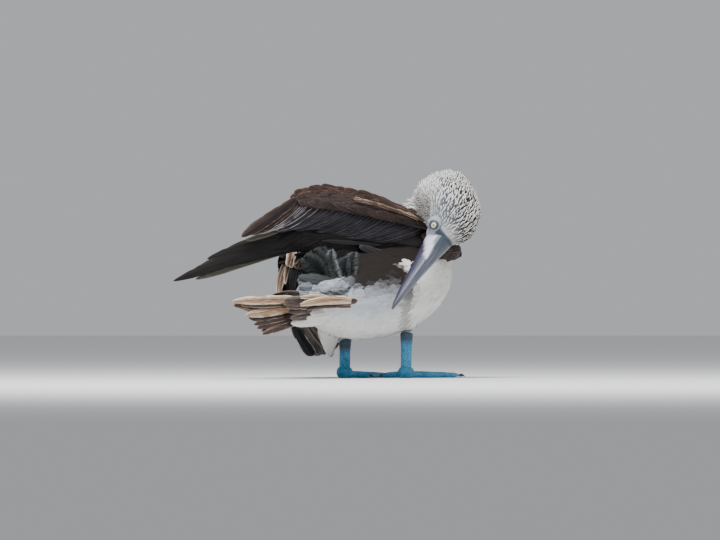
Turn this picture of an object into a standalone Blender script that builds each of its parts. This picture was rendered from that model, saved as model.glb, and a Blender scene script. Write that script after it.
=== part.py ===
"""A blue-footed booby, life size, standing and preening its right flank: a still model in one pose."""

import math
import random

import bmesh
import bpy
import numpy as np
from mathutils import Matrix, Vector

random.seed(7)

# Shared sizes, in metres
CM = 0.01
GAP = 0.0003
STANCE = Vector((0.0943, 0.0046, 0.0))
BODY_SIDES = 24
BLADE_THICK = 0.0006
BLADE_SHAPE = (
    (0.0, 0.45, 1.0),
    (0.2, 0.9, 1.0),
    (0.5, 1.0, 1.0),
    (0.78, 0.92, 1.0),
    (0.93, 0.62, 0.9),
    (1.0, 0.16, 0.7),
)
PLUME_SHAPE = ((0.0, 0.5, 1.6), (0.45, 1.0, 1.2), (0.8, 0.8, 1.0), (1.0, 0.2, 0.8))
PLUME_FACE = Vector((-0.8, -0.5, 0.3))
PLUME_BOW = 0.3

# Torso: place along the body, level of its widest part, half width, depth below and height above it
TORSO_STATIONS = (
    (-18.2, 8.6, 1.0, 0.8, 0.7),
    (-16.8, 8.5, 2.5, 1.9, 1.7),
    (-13.0, 8.7, 4.1, 3.3, 3.0),
    (-9.0, 9.0, 5.7, 4.6, 4.3),
    (-5.0, 9.2, 6.6, 5.1, 5.3),
    (0.0, 9.6, 7.1, 5.4, 6.2),
    (4.0, 10.2, 7.0, 5.5, 6.8),
    (8.0, 11.4, 5.9, 5.3, 6.4),
    (10.8, 12.3, 4.5, 4.6, 5.4),
    (12.7, 13.0, 3.2, 3.5, 3.8),
    (14.0, 13.4, 1.5, 1.7, 1.7),
)
BELLY_PINCH = 1.35
# Rump plumes: root, tip and width of each loose feather that stands up behind the wing
RUMP_PLUMES = (
    ((-15.2, -1.2, 10.3), (-16.2, 1.2, 13.5), 1.9),
    ((-14.8, -1.2, 10.4), (-14.5, 0.9, 14.2), 1.9),
    ((-14.2, -1.4, 10.7), (-12.7, 0.5, 14.4), 1.9),
    ((-13.8, -1.9, 10.8), (-13.1, -0.8, 14.4), 1.8),
    ((-11.6, -2.6, 11.0), (-9.9, -2.1, 14.0), 1.8),
    ((-15.6, -1.5, 9.9), (-21.5, -0.4, 11.1), 1.7),
    ((-14.6, 1.2, 10.0), (-18.0, 2.6, 11.6), 1.9),
    ((-10.0, 2.2, 12.0), (-13.6, 3.0, 13.6), 1.9),
    ((-12.4, -3.9, 9.0), (-22.4, -1.3, 8.3), 1.4),
)

# Neck: its centre line and radius, from the breast up and back over the right shoulder
NECK_LINE = (
    (7.2, -0.2, 13.0, 4.9),
    (9.4, -1.4, 15.8, 4.2),
    (10.6, -3.1, 18.0, 3.6),
    (8.8, -4.6, 19.5, 3.5),
    (5.6, -6.5, 19.5, 3.4),
    (2.4, -7.9, 19.0, 3.6),
    (1.4, -8.3, 18.8, 2.8),
)

# Head: centre of the skull, the way the bill points and the crown's way
HEAD_CENTRE = Vector((-0.7, -8.9, 18.5)) * CM
HEAD_AHEAD = Vector((-0.668, 0.250, -0.701)).normalized()
HEAD_UP = Vector((-0.031, 0.932, 0.361)).normalized()
# Its sections: place along the bill's way, level, half width, height above and depth below
HEAD_STATIONS = (
    (-4.1, 0.2, 1.0, 1.0, 1.0),
    (-3.4, 0.2, 2.4, 2.5, 2.5),
    (-2.0, 0.1, 3.6, 3.8, 3.8),
    (0.0, 0.0, 4.1, 4.35, 4.35),
    (0.6, -0.1, 4.0, 3.2, 4.2),
    (1.2, -0.2, 3.85, 1.8, 4.05),
    (2.0, -0.4, 3.45, 1.45, 3.6),
    (3.0, -0.8, 2.7, 1.45, 2.95),
    (3.8, -1.2, 1.9, 1.6, 2.0),
    (4.3, -1.36, 1.15, 1.2, 1.2),
    (4.7, -1.4, 0.6, 0.6, 0.6),
)
HEAD_SIDES = 20
CHIN_LEVEL = 14.55 * CM
EYE_PLACE = (3.35, -0.75, 1.95)
EYE_RADIUS = 0.72 * CM
EYE_WAY = (0.55, 0.12, 0.83)
LID_RADIUS = 0.86 * CM
LID_SINK = 0.12 * CM
LID_SQUASH = 0.86

# Bill: place ahead of the skull's centre, level, half width, half depth
BILL_STATIONS = (
    (3.9, -1.35, 1.35, 1.40),
    (5.0, -1.35, 1.30, 1.35),
    (6.5, -1.38, 1.02, 1.13),
    (9.0, -1.42, 0.72, 0.83),
    (12.0, -1.50, 0.44, 0.50),
    (13.8, -1.60, 0.24, 0.27),
    (14.6, -1.72, 0.06, 0.07),
)
MOUTH_LEVEL = -0.28
BILL_SIDES = 8

# Legs: each shank's place and the height of its ankle, the thigh's line, then the foot
LEGS = {"left": (3.6, -0.3, 4.2), "right": (-3.6, 0.4, 5.2)}
THIGH_LINES = {
    "left": ((0.5, 4.6, 8.4, 3.0), (0.2, 4.7, 6.4, 2.4), (-0.3, 4.2, 5.0, 1.6), (-0.4, 3.8, 4.1, 0.95)),
    "right": ((0.8, -3.8, 8.8, 2.4), (0.7, -3.7, 7.3, 1.8), (0.6, -3.65, 6.0, 1.3), (0.4, -3.6, 5.1, 0.95)),
}
THIGH_WEDGE = ((-0.6, 5.0, 7.2, 1.9), (-1.7, 5.0, 4.9, 1.35), (-1.5, 4.95, 3.2, 0.75), (-1.2, 4.9, 2.2, 0.25))
SHANK_RADIUS = (0.80, 0.62)
SHANK_LEVELS = (0.8, 3.0, 0.9)
TOE_LENGTHS = (8.6, 8.8, 6.6, 3.2)
TOE_TURNS = (-8.0, 14.0, -32.0, -92.0)
TOE_RADIUS = 0.42
FOOT_TURN = 7.0
WEB_LEVELS = (0.07, 0.25)
# Each toe: share of its length, share of its radius, and level of its middle
TOE_STATIONS = (
    (-0.04, 0.9, 0.5),
    (0.3, 0.9, 0.42),
    (0.62, 0.85, 0.36),
    (0.86, 0.75, 0.3),
    (0.9, 0.5, 0.32),
    (1.0, 0.1, 0.12),
)
WEB_ORDER = (1, 0, 2, 3)
WEB_REACH, WEB_SCALLOP, WEB_HEEL = 0.84, 0.10, 0.4
HEEL_LEVEL, HEEL_RADIUS, HEEL_SQUASH = 0.62, 0.95, 0.9
FLOOR_HALF, FLOOR_DEPTH = 0.2, 0.05

# Right wing: wrist, the way to the longest primary's tip, the way up the blade, the way it faces
WING_ORIGIN = Vector((7.5, -6.5, 13.5)) * CM
WING_ALONG = Vector((-0.914, 0.400, -0.074)).normalized()
WING_UP = Vector((0.003, 0.184, 0.983)).normalized()
WING_OUT = Vector((-0.4065, -0.898, 0.1696)).normalized()
WING_PAD = (
    (0.1, -0.3, 0.9, 0.3, 0.4),
    (0.7, -0.4, 2.1, 0.4, 0.9),
    (2.5, 0.3, 3.5, 0.8, 1.05),
    (6.0, 0.9, 5.0, 0.8, 1.0),
    (9.5, 1.6, 6.5, 0.7, 0.95),
    (13.5, 3.0, 7.8, 0.55, 0.85),
    (17.5, 5.7, 8.7, 0.5, 0.7),
    (21.0, 7.2, 8.8, 0.5, 0.5),
    (23.6, 7.6, 8.4, 0.5, 0.25),
)
PRIMARY_TIPS = (
    (41.9, 0.35),
    (39.0, 1.3),
    (36.1, 2.5),
    (33.3, 3.3),
    (31.0, 3.9),
    (29.0, 4.3),
    (27.4, 4.5),
    (26.2, 4.6),
    (25.2, 4.7),
    (24.4, 4.8),
)
# Secondaries: the lines, along and up the wing, that their roots and tips follow from the body to the wrist
SECONDARIES = 18
FAN_SHARES = (0.0, 0.2, 0.42, 0.58, 0.85, 1.0)
FAN_ROOTS = ((23.0, 7.9), (21.0, 7.6), (14.8, 6.4), (11.8, 5.6), (5.3, 4.0), (3.7, 3.2))
FAN_TIPS = ((31.9, 4.5), (28.3, 4.7), (22.9, 4.6), (18.5, 3.7), (14.7, 2.9), (12.1, 2.6))
# Coverts: rows between the fan's roots and the ridge, each given as a height between those two lines
BAND_LINE = ((1.0, 3.2, 5.4, 11.4, 14.5, 18.7, 23.9), (2.1, 3.0, 3.8, 5.2, 6.0, 7.0, 7.5))
RIDGE_LINE = (
    (1.0, 4.4, 7.0, 8.6, 10.3, 15.0, 18.6, 21.8, 23.6),
    (2.9, 4.2, 5.5, 6.3, 7.1, 8.2, 9.1, 8.9, 8.2),
)
COVERT_HEIGHTS = (0.0, 0.5, 1.0)
COVERTS = 8
COVERT_LENGTH = 4.6
HUMERUS = ((8.0, -2.6, 15.2, 1.6), (0.0, 0.2, 16.9, 1.3), (-8.0, 2.2, 18.7, 1.0))
SCAPULARS = 7

# Left wing: shoulder, elbow and wrist of the hanging arm, its sections, and its feathers
LEFT_SHOULDER = (8.4, 4.4, 15.2)
LEFT_ELBOW = (-6.0, 8.0, 13.9)
LEFT_WRIST = (12.5, 10.6, 11.0)
LEFT_ARM_SECTIONS = ((-0.06, 0.5), (0.02, 0.9), (0.3, 1.15), (0.65, 1.1), (0.9, 0.9), (1.0, 0.5))
CURTAIN = 15
LEFT_COVERTS = ((9, 0.46, 0.22, 2.6), (8, 0.27, 0.40, 2.3))
LEFT_SCAPULARS = 6
LEFT_HAND = ((12.4, 9.9, 10.9, 0.6), (8.0, 9.1, 10.4, 0.7), (3.0, 8.6, 10.0, 0.5))
# The hindmost blades, seen past the rump and below the tail: root, tip, width and sweep
HIND_FACE = Vector((0, 1, 0))
HIND_BLADES = (
    ((-3.8, 8.6, 13.6), (-7.2, 8.6, 8.3), 1.4, 0.5),
    ((-6.6, 8.7, 10.4), (1.9, 8.3, 2.45), 1.35, 0.45),
    ((-5.2, 8.65, 9.6), (3.5, 8.35, 2.5), 1.5, 0.4),
    ((-3.6, 8.6, 9.2), (5.6, 8.45, 2.75), 2.0, 0.35),
    ((-1.6, 8.6, 8.6), (7.0, 8.5, 3.2), 1.9, 0.3),
)

# Tail: the sections of its root, the tips of its right side's vanes, and the coverts over them
TAIL_ROOT = ((-14.5, 0.0, 8.4, 1.8, 1.3), (-18.5, 0.4, 8.0, 1.9, 1.1), (-22.5, 0.9, 7.6, 1.5, 0.5))
TAIL_RIGHT_TIPS = (
    (-33.0, 2.0, 8.5),
    (-31.0, 1.5, 7.3),
    (-29.5, 1.3, 6.5),
    (-28.9, 1.2, 5.8),
    (-28.3, 1.1, 5.1),
    (-27.7, 1.0, 4.9),
)
TAIL_COVERTS = 5
TAIL_FACE = Vector((-0.3, -1, 0.3))


def cm(*values):
    return Vector(values) * CM


def new_collection(name):
    found = bpy.data.collections.new(name)
    bpy.context.scene.collection.children.link(found)
    return found


for leftover in list(bpy.data.objects):
    bpy.data.objects.remove(leftover, do_unlink=True)

booby = new_collection("blue_footed_booby")
tools = new_collection("cutters")
tools.hide_render = True


def material(name, colour, roughness, metallic=0.0):
    made = bpy.data.materials.new(name)
    made.use_nodes = True
    shader = made.node_tree.nodes["Principled BSDF"]
    shader.inputs["Base Color"].default_value = (*colour, 1.0)
    shader.inputs["Roughness"].default_value = roughness
    shader.inputs["Metallic"].default_value = metallic
    return made


def mesh_object(name, points, faces, collection):
    mesh = bpy.data.meshes.new(name)
    mesh.from_pydata([tuple(point) for point in points], [], faces)
    made = bmesh.new()
    made.from_mesh(mesh)
    bmesh.ops.recalc_face_normals(made, faces=made.faces)
    bmesh.ops.triangulate(made, faces=[face for face in made.faces if len(face.verts) > 4])
    made.to_mesh(mesh)
    made.free()
    obj = bpy.data.objects.new(name, mesh)
    obj.display_type = "WIRE" if collection == tools else "TEXTURED"
    collection.objects.link(obj)
    return obj


def loft(name, rings, collection=tools):
    """A closed solid through rings of equal count, capped at both ends."""
    count = len(rings[0])
    points = [point for ring in rings for point in ring]
    faces = [tuple(range(count)), tuple((len(rings) - 1) * count + i for i in range(count))]
    for row in range(len(rings) - 1):
        for i in range(count):
            here, beside = row * count + i, row * count + (i + 1) % count
            faces.append((here, beside, beside + count, here + count))
    return mesh_object(name, points, faces, collection)


def oval(centre, right, up, half_width, above, below=None, sides=BODY_SIDES, pinch=1.0):
    """A ring of points whose lower half may be deeper and more pointed than its upper half."""
    below = above if below is None else below
    ring = []
    for i in range(sides):
        turn = 2 * math.pi * i / sides
        lift, reach = math.sin(turn), math.cos(turn)
        if lift < 0:
            reach *= abs(reach) ** (pinch - 1)
        lift *= above if lift > 0 else below
        ring.append(centre + right * half_width * reach + up * lift)
    return ring


def tube(name, line, sides=12, collection=tools, side_hint=Vector((0, 0, 1))):
    """A round solid along a line of (x, y, z, radius), in centimetres."""
    centres = [cm(*row[:3]) for row in line]
    rings = []
    for i, row in enumerate(line):
        ahead = (centres[min(i + 1, len(line) - 1)] - centres[max(i - 1, 0)]).normalized()
        right = ahead.cross(side_hint).normalized()
        rings.append(oval(centres[i], right, right.cross(ahead), row[3] * CM, row[3] * CM, sides=sides))
    return loft(name, rings, collection)


def inflated(obj, by=GAP):
    """A copy grown by the gap that neighbours keep, used as a cutter."""
    mesh = obj.data.copy()
    grown = bmesh.new()
    grown.from_mesh(mesh)
    grown.normal_update()
    moves = [(vertex, vertex.normal.copy()) for vertex in grown.verts]
    for vertex, normal in moves:
        vertex.co += normal * by
    grown.to_mesh(mesh)
    grown.free()
    copy = bpy.data.objects.new(obj.name + "_gap", mesh)
    tools.objects.link(copy)
    return copy


def copy_of(obj):
    copy = bpy.data.objects.new(obj.name, obj.data.copy())
    tools.objects.link(copy)
    return copy


def keep_largest(obj):
    """Leaves only the closed surface that holds the most."""
    work = bmesh.new()
    work.from_mesh(obj.data)
    bmesh.ops.triangulate(work, faces=work.faces)
    left, islands = set(work.faces), []
    while left:
        front, island = [left.pop()], []
        while front:
            face = front.pop()
            island.append(face)
            for edge in face.edges:
                for other in edge.link_faces:
                    if other in left:
                        left.remove(other)
                        front.append(other)
        islands.append(island)

    def held(island):
        return sum(f.verts[0].co.dot(f.verts[1].co.cross(f.verts[2].co)) for f in island)

    islands.sort(key=held)
    loose = [face for island in islands[:-1] for face in island]
    if loose:
        bmesh.ops.delete(work, geom=loose, context="FACES")
    work.to_mesh(obj.data)
    work.free()


def boolean(obj, operation, operand, solver="EXACT"):
    """Applies one Boolean with an object or a collection, then removes what it used."""
    step = obj.modifiers.new(operation.lower(), "BOOLEAN")
    step.operation = operation
    step.solver = solver
    if isinstance(operand, bpy.types.Collection):
        step.operand_type = "COLLECTION"
        step.collection = operand
        used = list(operand.objects)
    else:
        step.object = operand
        used = [operand]
    bpy.context.view_layer.objects.active = obj
    bpy.ops.object.modifier_apply(modifier=step.name)
    for gone in used:
        bpy.data.objects.remove(gone, do_unlink=True)
    if isinstance(operand, bpy.types.Collection):
        bpy.data.collections.remove(operand)
    keep_largest(obj)


def join(name, pieces, solver="EXACT"):
    """Unites closed pieces into the first of them."""
    base, others = pieces[0], pieces[1:]
    group = bpy.data.collections.new(name + "_pieces")
    bpy.context.scene.collection.children.link(group)
    for piece in others:
        for home in list(piece.users_collection):
            home.objects.unlink(piece)
        group.objects.link(piece)
    boolean(base, "UNION", group, solver)
    base.name = base.data.name = name
    return base


def clear_of(obj, *neighbours):
    """Cuts each neighbour, grown by the gap, out of this node."""
    for neighbour in neighbours:
        boolean(obj, "DIFFERENCE", inflated(neighbour))


def as_node(obj, name, made_of):
    for home in list(obj.users_collection):
        home.objects.unlink(obj)
    booby.objects.link(obj)
    obj.display_type = "TEXTURED"
    obj.name = obj.data.name = name
    obj.data.materials.clear()
    obj.data.materials.append(made_of)


def blade(root, tip, width, face, bow=0.0, sweep=0.0, thick=BLADE_THICK, shape=BLADE_SHAPE):
    """A feather as a thin closed solid: bow lifts its middle towards its face, sweep takes it sideways."""
    along = (tip - root).normalized()
    side = along.cross(face).normalized()
    face = side.cross(along)
    points, faces = [], [(0, 1, 2, 3)]
    for share, wide, deep in shape:
        hump = 4 * share * (1 - share)
        centre = root.lerp(tip, share) + face * bow * hump + side * sweep * hump
        half, up = side * width * wide / 2, face * thick * deep / 2
        points += [centre - half + up, centre + half + up, centre + half - up, centre - half - up]
    for row in range(len(shape) - 1):
        a, b, c, d = (row * 4 + i for i in range(4))
        e, f, g, h = (i + 4 for i in (a, b, c, d))
        faces += [(a, b, f), (a, f, e), (d, g, c), (d, h, g), (a, e, h, d), (b, c, g, f)]
    last = 4 * (len(shape) - 1)
    faces.append(tuple(last + i for i in range(4)))
    return mesh_object("blade", points, faces, tools)


# Torso: one smooth loft from breast to rump, with the loose plumes of the rump
def torso_ring(x, level, half_width, below, above):
    right, up = Vector((0, 1, 0)), Vector((0, 0, 1))
    return oval(cm(x, 0, level), right, up, half_width * CM, above * CM, below * CM, pinch=BELLY_PINCH)


torso_form = loft("torso_form", [torso_ring(*row) for row in TORSO_STATIONS])
plumes = []
for root, tip, width in RUMP_PLUMES:
    plumes.append(blade(cm(*root), cm(*tip), width * CM, PLUME_FACE, PLUME_BOW * CM, shape=PLUME_SHAPE))
torso = join("torso", [copy_of(torso_form)] + plumes)

# Head: a loft along the bill's way, with a raised lid ring round each eye
HEAD_LEFT = HEAD_UP.cross(HEAD_AHEAD).normalized()


def head_point(ahead, up, left):
    return HEAD_CENTRE + (HEAD_AHEAD * ahead + HEAD_UP * up + HEAD_LEFT * left) * CM


def head_ring(ahead, up, half_width, above, below):
    """A section of the head, kept above the level of the chin."""
    middle = head_point(ahead, up, 0)
    ring = oval(middle, HEAD_LEFT, HEAD_UP, half_width * CM, above * CM, below * CM, sides=HEAD_SIDES)
    for point in ring:
        point.z = max(point.z, CHIN_LEVEL)
    return ring


def ball(name, centre, radius, squash=1.0, axis=None, rings=8, sides=14):
    """A sphere, flattened along an axis if one is given."""
    work = bmesh.new()
    bmesh.ops.create_uvsphere(work, u_segments=sides, v_segments=rings, radius=radius)
    mesh = bpy.data.meshes.new(name)
    work.to_mesh(mesh)
    work.free()
    turn = Vector((0, 0, 1)).rotation_difference(axis or Vector((0, 0, 1))).to_matrix().to_4x4()
    mesh.transform(Matrix.Translation(centre) @ turn @ Matrix.Diagonal((1, 1, squash, 1)))
    obj = bpy.data.objects.new(name, mesh)
    tools.objects.link(obj)
    return obj


def eye_axis(side):
    ahead, up, left = EYE_WAY
    return (HEAD_AHEAD * ahead + HEAD_UP * up + HEAD_LEFT * left * side).normalized()


eyes, lids = {}, []
for side, sign in (("left", 1), ("right", -1)):
    ahead, up, out = EYE_PLACE
    centre = head_point(ahead, up, out * sign)
    eyes[side] = ball("eye_" + side, centre, EYE_RADIUS)
    seat = centre - eye_axis(sign) * LID_SINK
    lids.append(ball("lid", seat, LID_RADIUS, LID_SQUASH, eye_axis(sign)))

head = join("head", [loft("head", [head_ring(*row) for row in HEAD_STATIONS])] + lids)
for eye in eyes.values():
    clear_of(head, eye)

# Neck: a bent tube that ends in the head and in the breast
neck = join("neck", [tube("length", NECK_LINE[i : i + 3], sides=16) for i in range(len(NECK_LINE) - 2)])
clear_of(neck, torso_form, head)


# Bill: an upper and a lower half that part along the line of the mouth
def bill_half(name, upper):
    rings = []
    for ahead, level, half_width, half_depth in BILL_STATIONS:
        mouth = level + MOUTH_LEVEL * half_depth
        edge = GAP / CM / 2 * (1 if upper else -1)
        ring = []
        for i in range(BILL_SIDES + 1):
            turn = math.pi * i / BILL_SIDES
            reach = half_depth + level - mouth if upper else -(half_depth - level + mouth)
            rise = edge + max(math.sin(turn), 0.0) * reach
            ring.append(head_point(ahead, mouth + rise, math.cos(turn) * half_width))
        rings.append(ring)
    return loft(name, rings)


bill_upper = bill_half("bill_upper", True)
bill_lower = bill_half("bill_lower", False)
for half in (bill_upper, bill_lower):
    clear_of(half, head)

# Legs: feathered thighs, bare shanks and webbed feet
thighs, shanks, feet = {}, {}, {}


def shank(side, x, y, ankle):
    """A straight bare leg from inside the thigh's end down to the heel."""
    above, middle, heel_level = SHANK_LEVELS
    line = (
        (x + 0.1, y, ankle + above, SHANK_RADIUS[0]),
        (x, y, middle, SHANK_RADIUS[1]),
        (x - 0.1, y, heel_level, SHANK_RADIUS[1]),
    )
    return tube("shank_" + side, line, side_hint=Vector((1, 0, 0)))


def foot(name, heel, sign):
    """Four toes joined by a thin web, with a ball of heel, cut flat where they meet the floor."""
    toes, ends = [], []
    for length, turn in zip(TOE_LENGTHS, TOE_TURNS):
        angle = math.radians(FOOT_TURN + turn) * sign
        ahead = Vector((math.cos(angle), math.sin(angle), 0))
        rows = []
        for share, wide, level in TOE_STATIONS:
            spot = heel / CM + ahead * length * share
            rows.append((spot.x, spot.y, level, TOE_RADIUS * wide))
        toes.append(tube("toe", rows, sides=7))
        ends.append(heel + ahead * length * WEB_REACH * CM)
    rim = [heel - cm(WEB_HEEL, 0, 0)]
    for i, toe in enumerate(WEB_ORDER):
        rim.append(ends[toe])
        if i + 1 < len(WEB_ORDER):
            middle = (ends[toe] + ends[WEB_ORDER[i + 1]]) / 2
            rim.append(middle.lerp(heel, WEB_SCALLOP))
    web = loft("web", [[point + cm(0, 0, level) for point in rim] for level in WEB_LEVELS])
    base = ball(name, heel + cm(0, 0, HEEL_LEVEL), HEEL_RADIUS * CM, HEEL_SQUASH)
    made = join(name, [base, web] + toes)
    corners = ((-1, -1), (1, -1), (1, 1), (-1, 1))
    slab = []
    for level in (-FLOOR_DEPTH, 0.0):
        slab.append([heel + Vector((x * FLOOR_HALF, y * FLOOR_HALF, level)) for x, y in corners])
    boolean(made, "DIFFERENCE", loft("floor", slab))
    return made


for side, (y, x, ankle) in LEGS.items():
    thighs[side] = tube("thigh_" + side, THIGH_LINES[side], sides=14, side_hint=Vector((1, 0, 0)))
    if side == "left":
        wedge = tube("wedge", THIGH_WEDGE, sides=14, side_hint=Vector((1, 0, 0)))
        thighs[side] = join("thigh_left", [thighs[side], wedge])
    clear_of(thighs[side], torso_form)
    shanks[side] = shank(side, x, y, ankle)
    clear_of(shanks[side], torso_form, thighs[side])
    feet[side] = foot("foot_" + side, cm(x - 0.1, y, 0), 1 if y > 0 else -1)
    clear_of(feet[side], shanks[side])


# Right wing: a pad of arm and small coverts, then the flight feathers, coverts and ridge in tiers
def wing_point(along, up, out):
    return WING_ORIGIN + (WING_ALONG * along + WING_UP * up + WING_OUT * out) * CM


def pad_ring(along, low, high, out, half_thick):
    middle = wing_point(along, (low + high) / 2, out)
    return oval(middle, WING_UP, WING_OUT, (high - low) / 2 * CM, half_thick * CM, sides=14)


def wing_blade(root, tip, width, bow=0.3, sweep=0.0):
    """One blade between two places on the wing, each given along it, up it and out from it."""
    return blade(wing_point(*root), wing_point(*tip), width * CM, WING_OUT, bow * CM, sweep * CM)


def fan_place(share, line):
    """The place along and up the wing at this share of the fan."""
    return tuple(float(np.interp(share, FAN_SHARES, column)) for column in zip(*line))


def covert_place(along, height):
    """A place between the fan's roots and the ridge, along and up the wing."""
    low, high = np.interp(along, *BAND_LINE), np.interp(along, *RIDGE_LINE)
    return along, float(low + (high - low) * height)


pieces = [loft("wing_right", [pad_ring(*row) for row in WING_PAD])]
for i, (along, up) in enumerate(PRIMARY_TIPS):
    share = i / (len(PRIMARY_TIPS) - 1)
    root = (11.0 - 7.5 * share, 2.9 - 0.9 * share, 0.2)
    pieces.append(wing_blade(root, (along, up, -0.4 + 0.1 * i), 2.1, 0.6, 1.3 - 0.8 * share))
for i in range(SECONDARIES):
    share = i / (SECONDARIES - 1)
    root = (*fan_place(share, FAN_ROOTS), 0.6)
    tip = (*fan_place(share, FAN_TIPS), 1.75 - 0.07 * i)
    pieces.append(wing_blade(root, tip, 2.2, 0.25))
for height in COVERT_HEIGHTS:
    for i in range(COVERTS):
        along = 4.2 + 19.2 * i / (COVERTS - 1)
        root = (*covert_place(along - COVERT_LENGTH, height * 0.8 + 0.1), 0.9 - 0.3 * height)
        tip = (*covert_place(along, height), 2.0 - 1.0 * height + random.uniform(-0.12, 0.12))
        pieces.append(wing_blade(root, tip, 2.3 - 0.6 * height, 0.25))
pieces.append(tube("humerus", HUMERUS, sides=10))
for i in range(SCAPULARS):
    share = i / (SCAPULARS - 1)
    root = cm(*HUMERUS[0][:3]).lerp(cm(*HUMERUS[-1][:3]), 0.18 + 0.78 * share) + cm(0.3, 0.2, 0.5)
    tip = root + cm(-6.0 - 0.4 * share, 3.0 - 0.8 * share, 0.6 - 1.8 * share)
    pieces.append(blade(root, tip, 2.6 * CM, Vector((-0.1, 0.5, 0.86)), 0.3 * CM))
wing_right = join("wing_right", pieces)
clear_of(wing_right, torso_form, neck)

# Left wing: the arm hangs away from the body, with a curtain of feathers below it
shoulder, elbow, wrist = cm(*LEFT_SHOULDER), cm(*LEFT_ELBOW), cm(*LEFT_WRIST)


def forearm_point(share):
    return elbow.lerp(wrist, share) + cm(0, 0.7, 0.5) * math.sin(math.pi * share)


def arm_ring(share, half_thick):
    """A section of the folded arm, from the upper arm across to the forearm."""
    upper, lower = elbow.lerp(shoulder, share), forearm_point(share)
    across = (lower - upper).normalized() if share > 0.05 else Vector((0, 0.9, -0.4)).normalized()
    face = across.cross(Vector((1, 0, 0))).normalized()
    half = (lower - upper).length / 2 + 0.9 * CM
    return oval((upper + lower) / 2, across, face, half, half_thick * CM, sides=12)


def curtain_line(share):
    """Root, tip and bow of the flight feather that hangs at this share of the forearm."""
    root = forearm_point(0.04 + 0.92 * share) + cm(0, 0.1, -0.1)
    low = 4.5 - 2.2 * math.sin(math.pi * min(share * 1.1, 1)) + 0.6 * share
    return root, cm(-4.9 + 15.0 * share, 7.8 + 0.5 * share, low), (1.3 + 0.06 * share * CURTAIN) * CM


pieces = [loft("wing_left", [arm_ring(share, thick) for share, thick in LEFT_ARM_SECTIONS])]
for i in range(CURTAIN):
    root, tip, bow = curtain_line(i / (CURTAIN - 1))
    pieces.append(blade(root, tip, 2.4 * CM, Vector((0, 1, 0)), bow))
for count, reach, lift, width in LEFT_COVERTS:
    for i in range(count):
        share = i / (count - 1)
        root, tip, bow = curtain_line(share)
        out = cm(0, lift, 0)
        spot = root.lerp(tip, reach) + Vector((0, 1, 0)) * bow * 4 * reach * (1 - reach) + out * 1.5
        pieces.append(blade(root + out + cm(0, 0, 0.5), spot, width * CM, Vector((0, 1, 0.3)), 0.35 * CM))
for i in range(LEFT_SCAPULARS):
    share = i / (LEFT_SCAPULARS - 1)
    root = elbow.lerp(shoulder, 0.15 + 0.8 * share) + cm(0, 0, 0.5)
    tip = root + cm(-6.8, 1.6, -0.6 + 0.9 * share)
    pieces.append(blade(root, tip, 2.6 * CM, Vector((0, 0.35, 0.94)), 0.4 * CM))
for root, tip, width, sweep in HIND_BLADES:
    pieces.append(blade(cm(*root), cm(*tip), width * CM, HIND_FACE, 0.15 * CM, sweep * CM))
wing_left = join("wing_left", pieces)
clear_of(wing_left, torso_form, neck, thighs["left"])

pieces = [tube("wing_left_hand", LEFT_HAND, sides=10)]
for i in range(len(PRIMARY_TIPS)):
    share = i / (len(PRIMARY_TIPS) - 1)
    root = cm(3.4 + 6.0 * share, 8.7 + 0.3 * share, 10.0 + 0.2 * share)
    tip = cm(-24.0 + 15.5 * share, 4.2 + 3.0 * share, 6.8 + 1.2 * share)
    pieces.append(blade(root, tip, 2.0 * CM, Vector((0.15, 1, 0)), 0.4 * CM))
wing_left_hand = join("wing_left_hand", pieces)
arm_form = loft("arm", [arm_ring(share, thick) for share, thick in LEFT_ARM_SECTIONS])
clear_of(wing_left_hand, arm_form)

# Tail: a short root that holds the vanes, which fan down its right side
def tail_ring(x, y, z, tall, thick):
    return oval(cm(x, y, z), Vector((0, 0, 1)), Vector((0, 1, 0)), tall * CM, thick * CM, sides=12)


pieces = [loft("tail", [tail_ring(*row) for row in TAIL_ROOT])]
for i, (x, y, z) in enumerate(TAIL_RIGHT_TIPS):
    root = cm(-16.5, -0.1 - 0.02 * i, 8.9 - 0.30 * i)
    pieces.append(blade(root, cm(x, y - 0.1 * i, z), 2.0 * CM, TAIL_FACE, 0.2 * CM))
    if i:
        root = cm(-16.5, 0.5 + 0.05 * i, 8.8 - 0.2 * i)
        tip = cm(-33.0 + 1.5 * i, 2.0 + 0.12 * i, 8.2 - 0.15 * i)
        pieces.append(blade(root, tip, 2.0 * CM, TAIL_FACE, 0.2 * CM))
for i in range(TAIL_COVERTS):
    root = cm(-15.5, -0.9, 9.6 - 0.75 * i)
    tip = cm(-23.4 + 0.5 * i, 0.0 - 0.12 * i, 9.0 - 0.62 * i)
    pieces.append(blade(root, tip, 1.7 * CM, TAIL_FACE, 0.25 * CM))
tail = join("tail", pieces)
clear_of(tail, torso)

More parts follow.
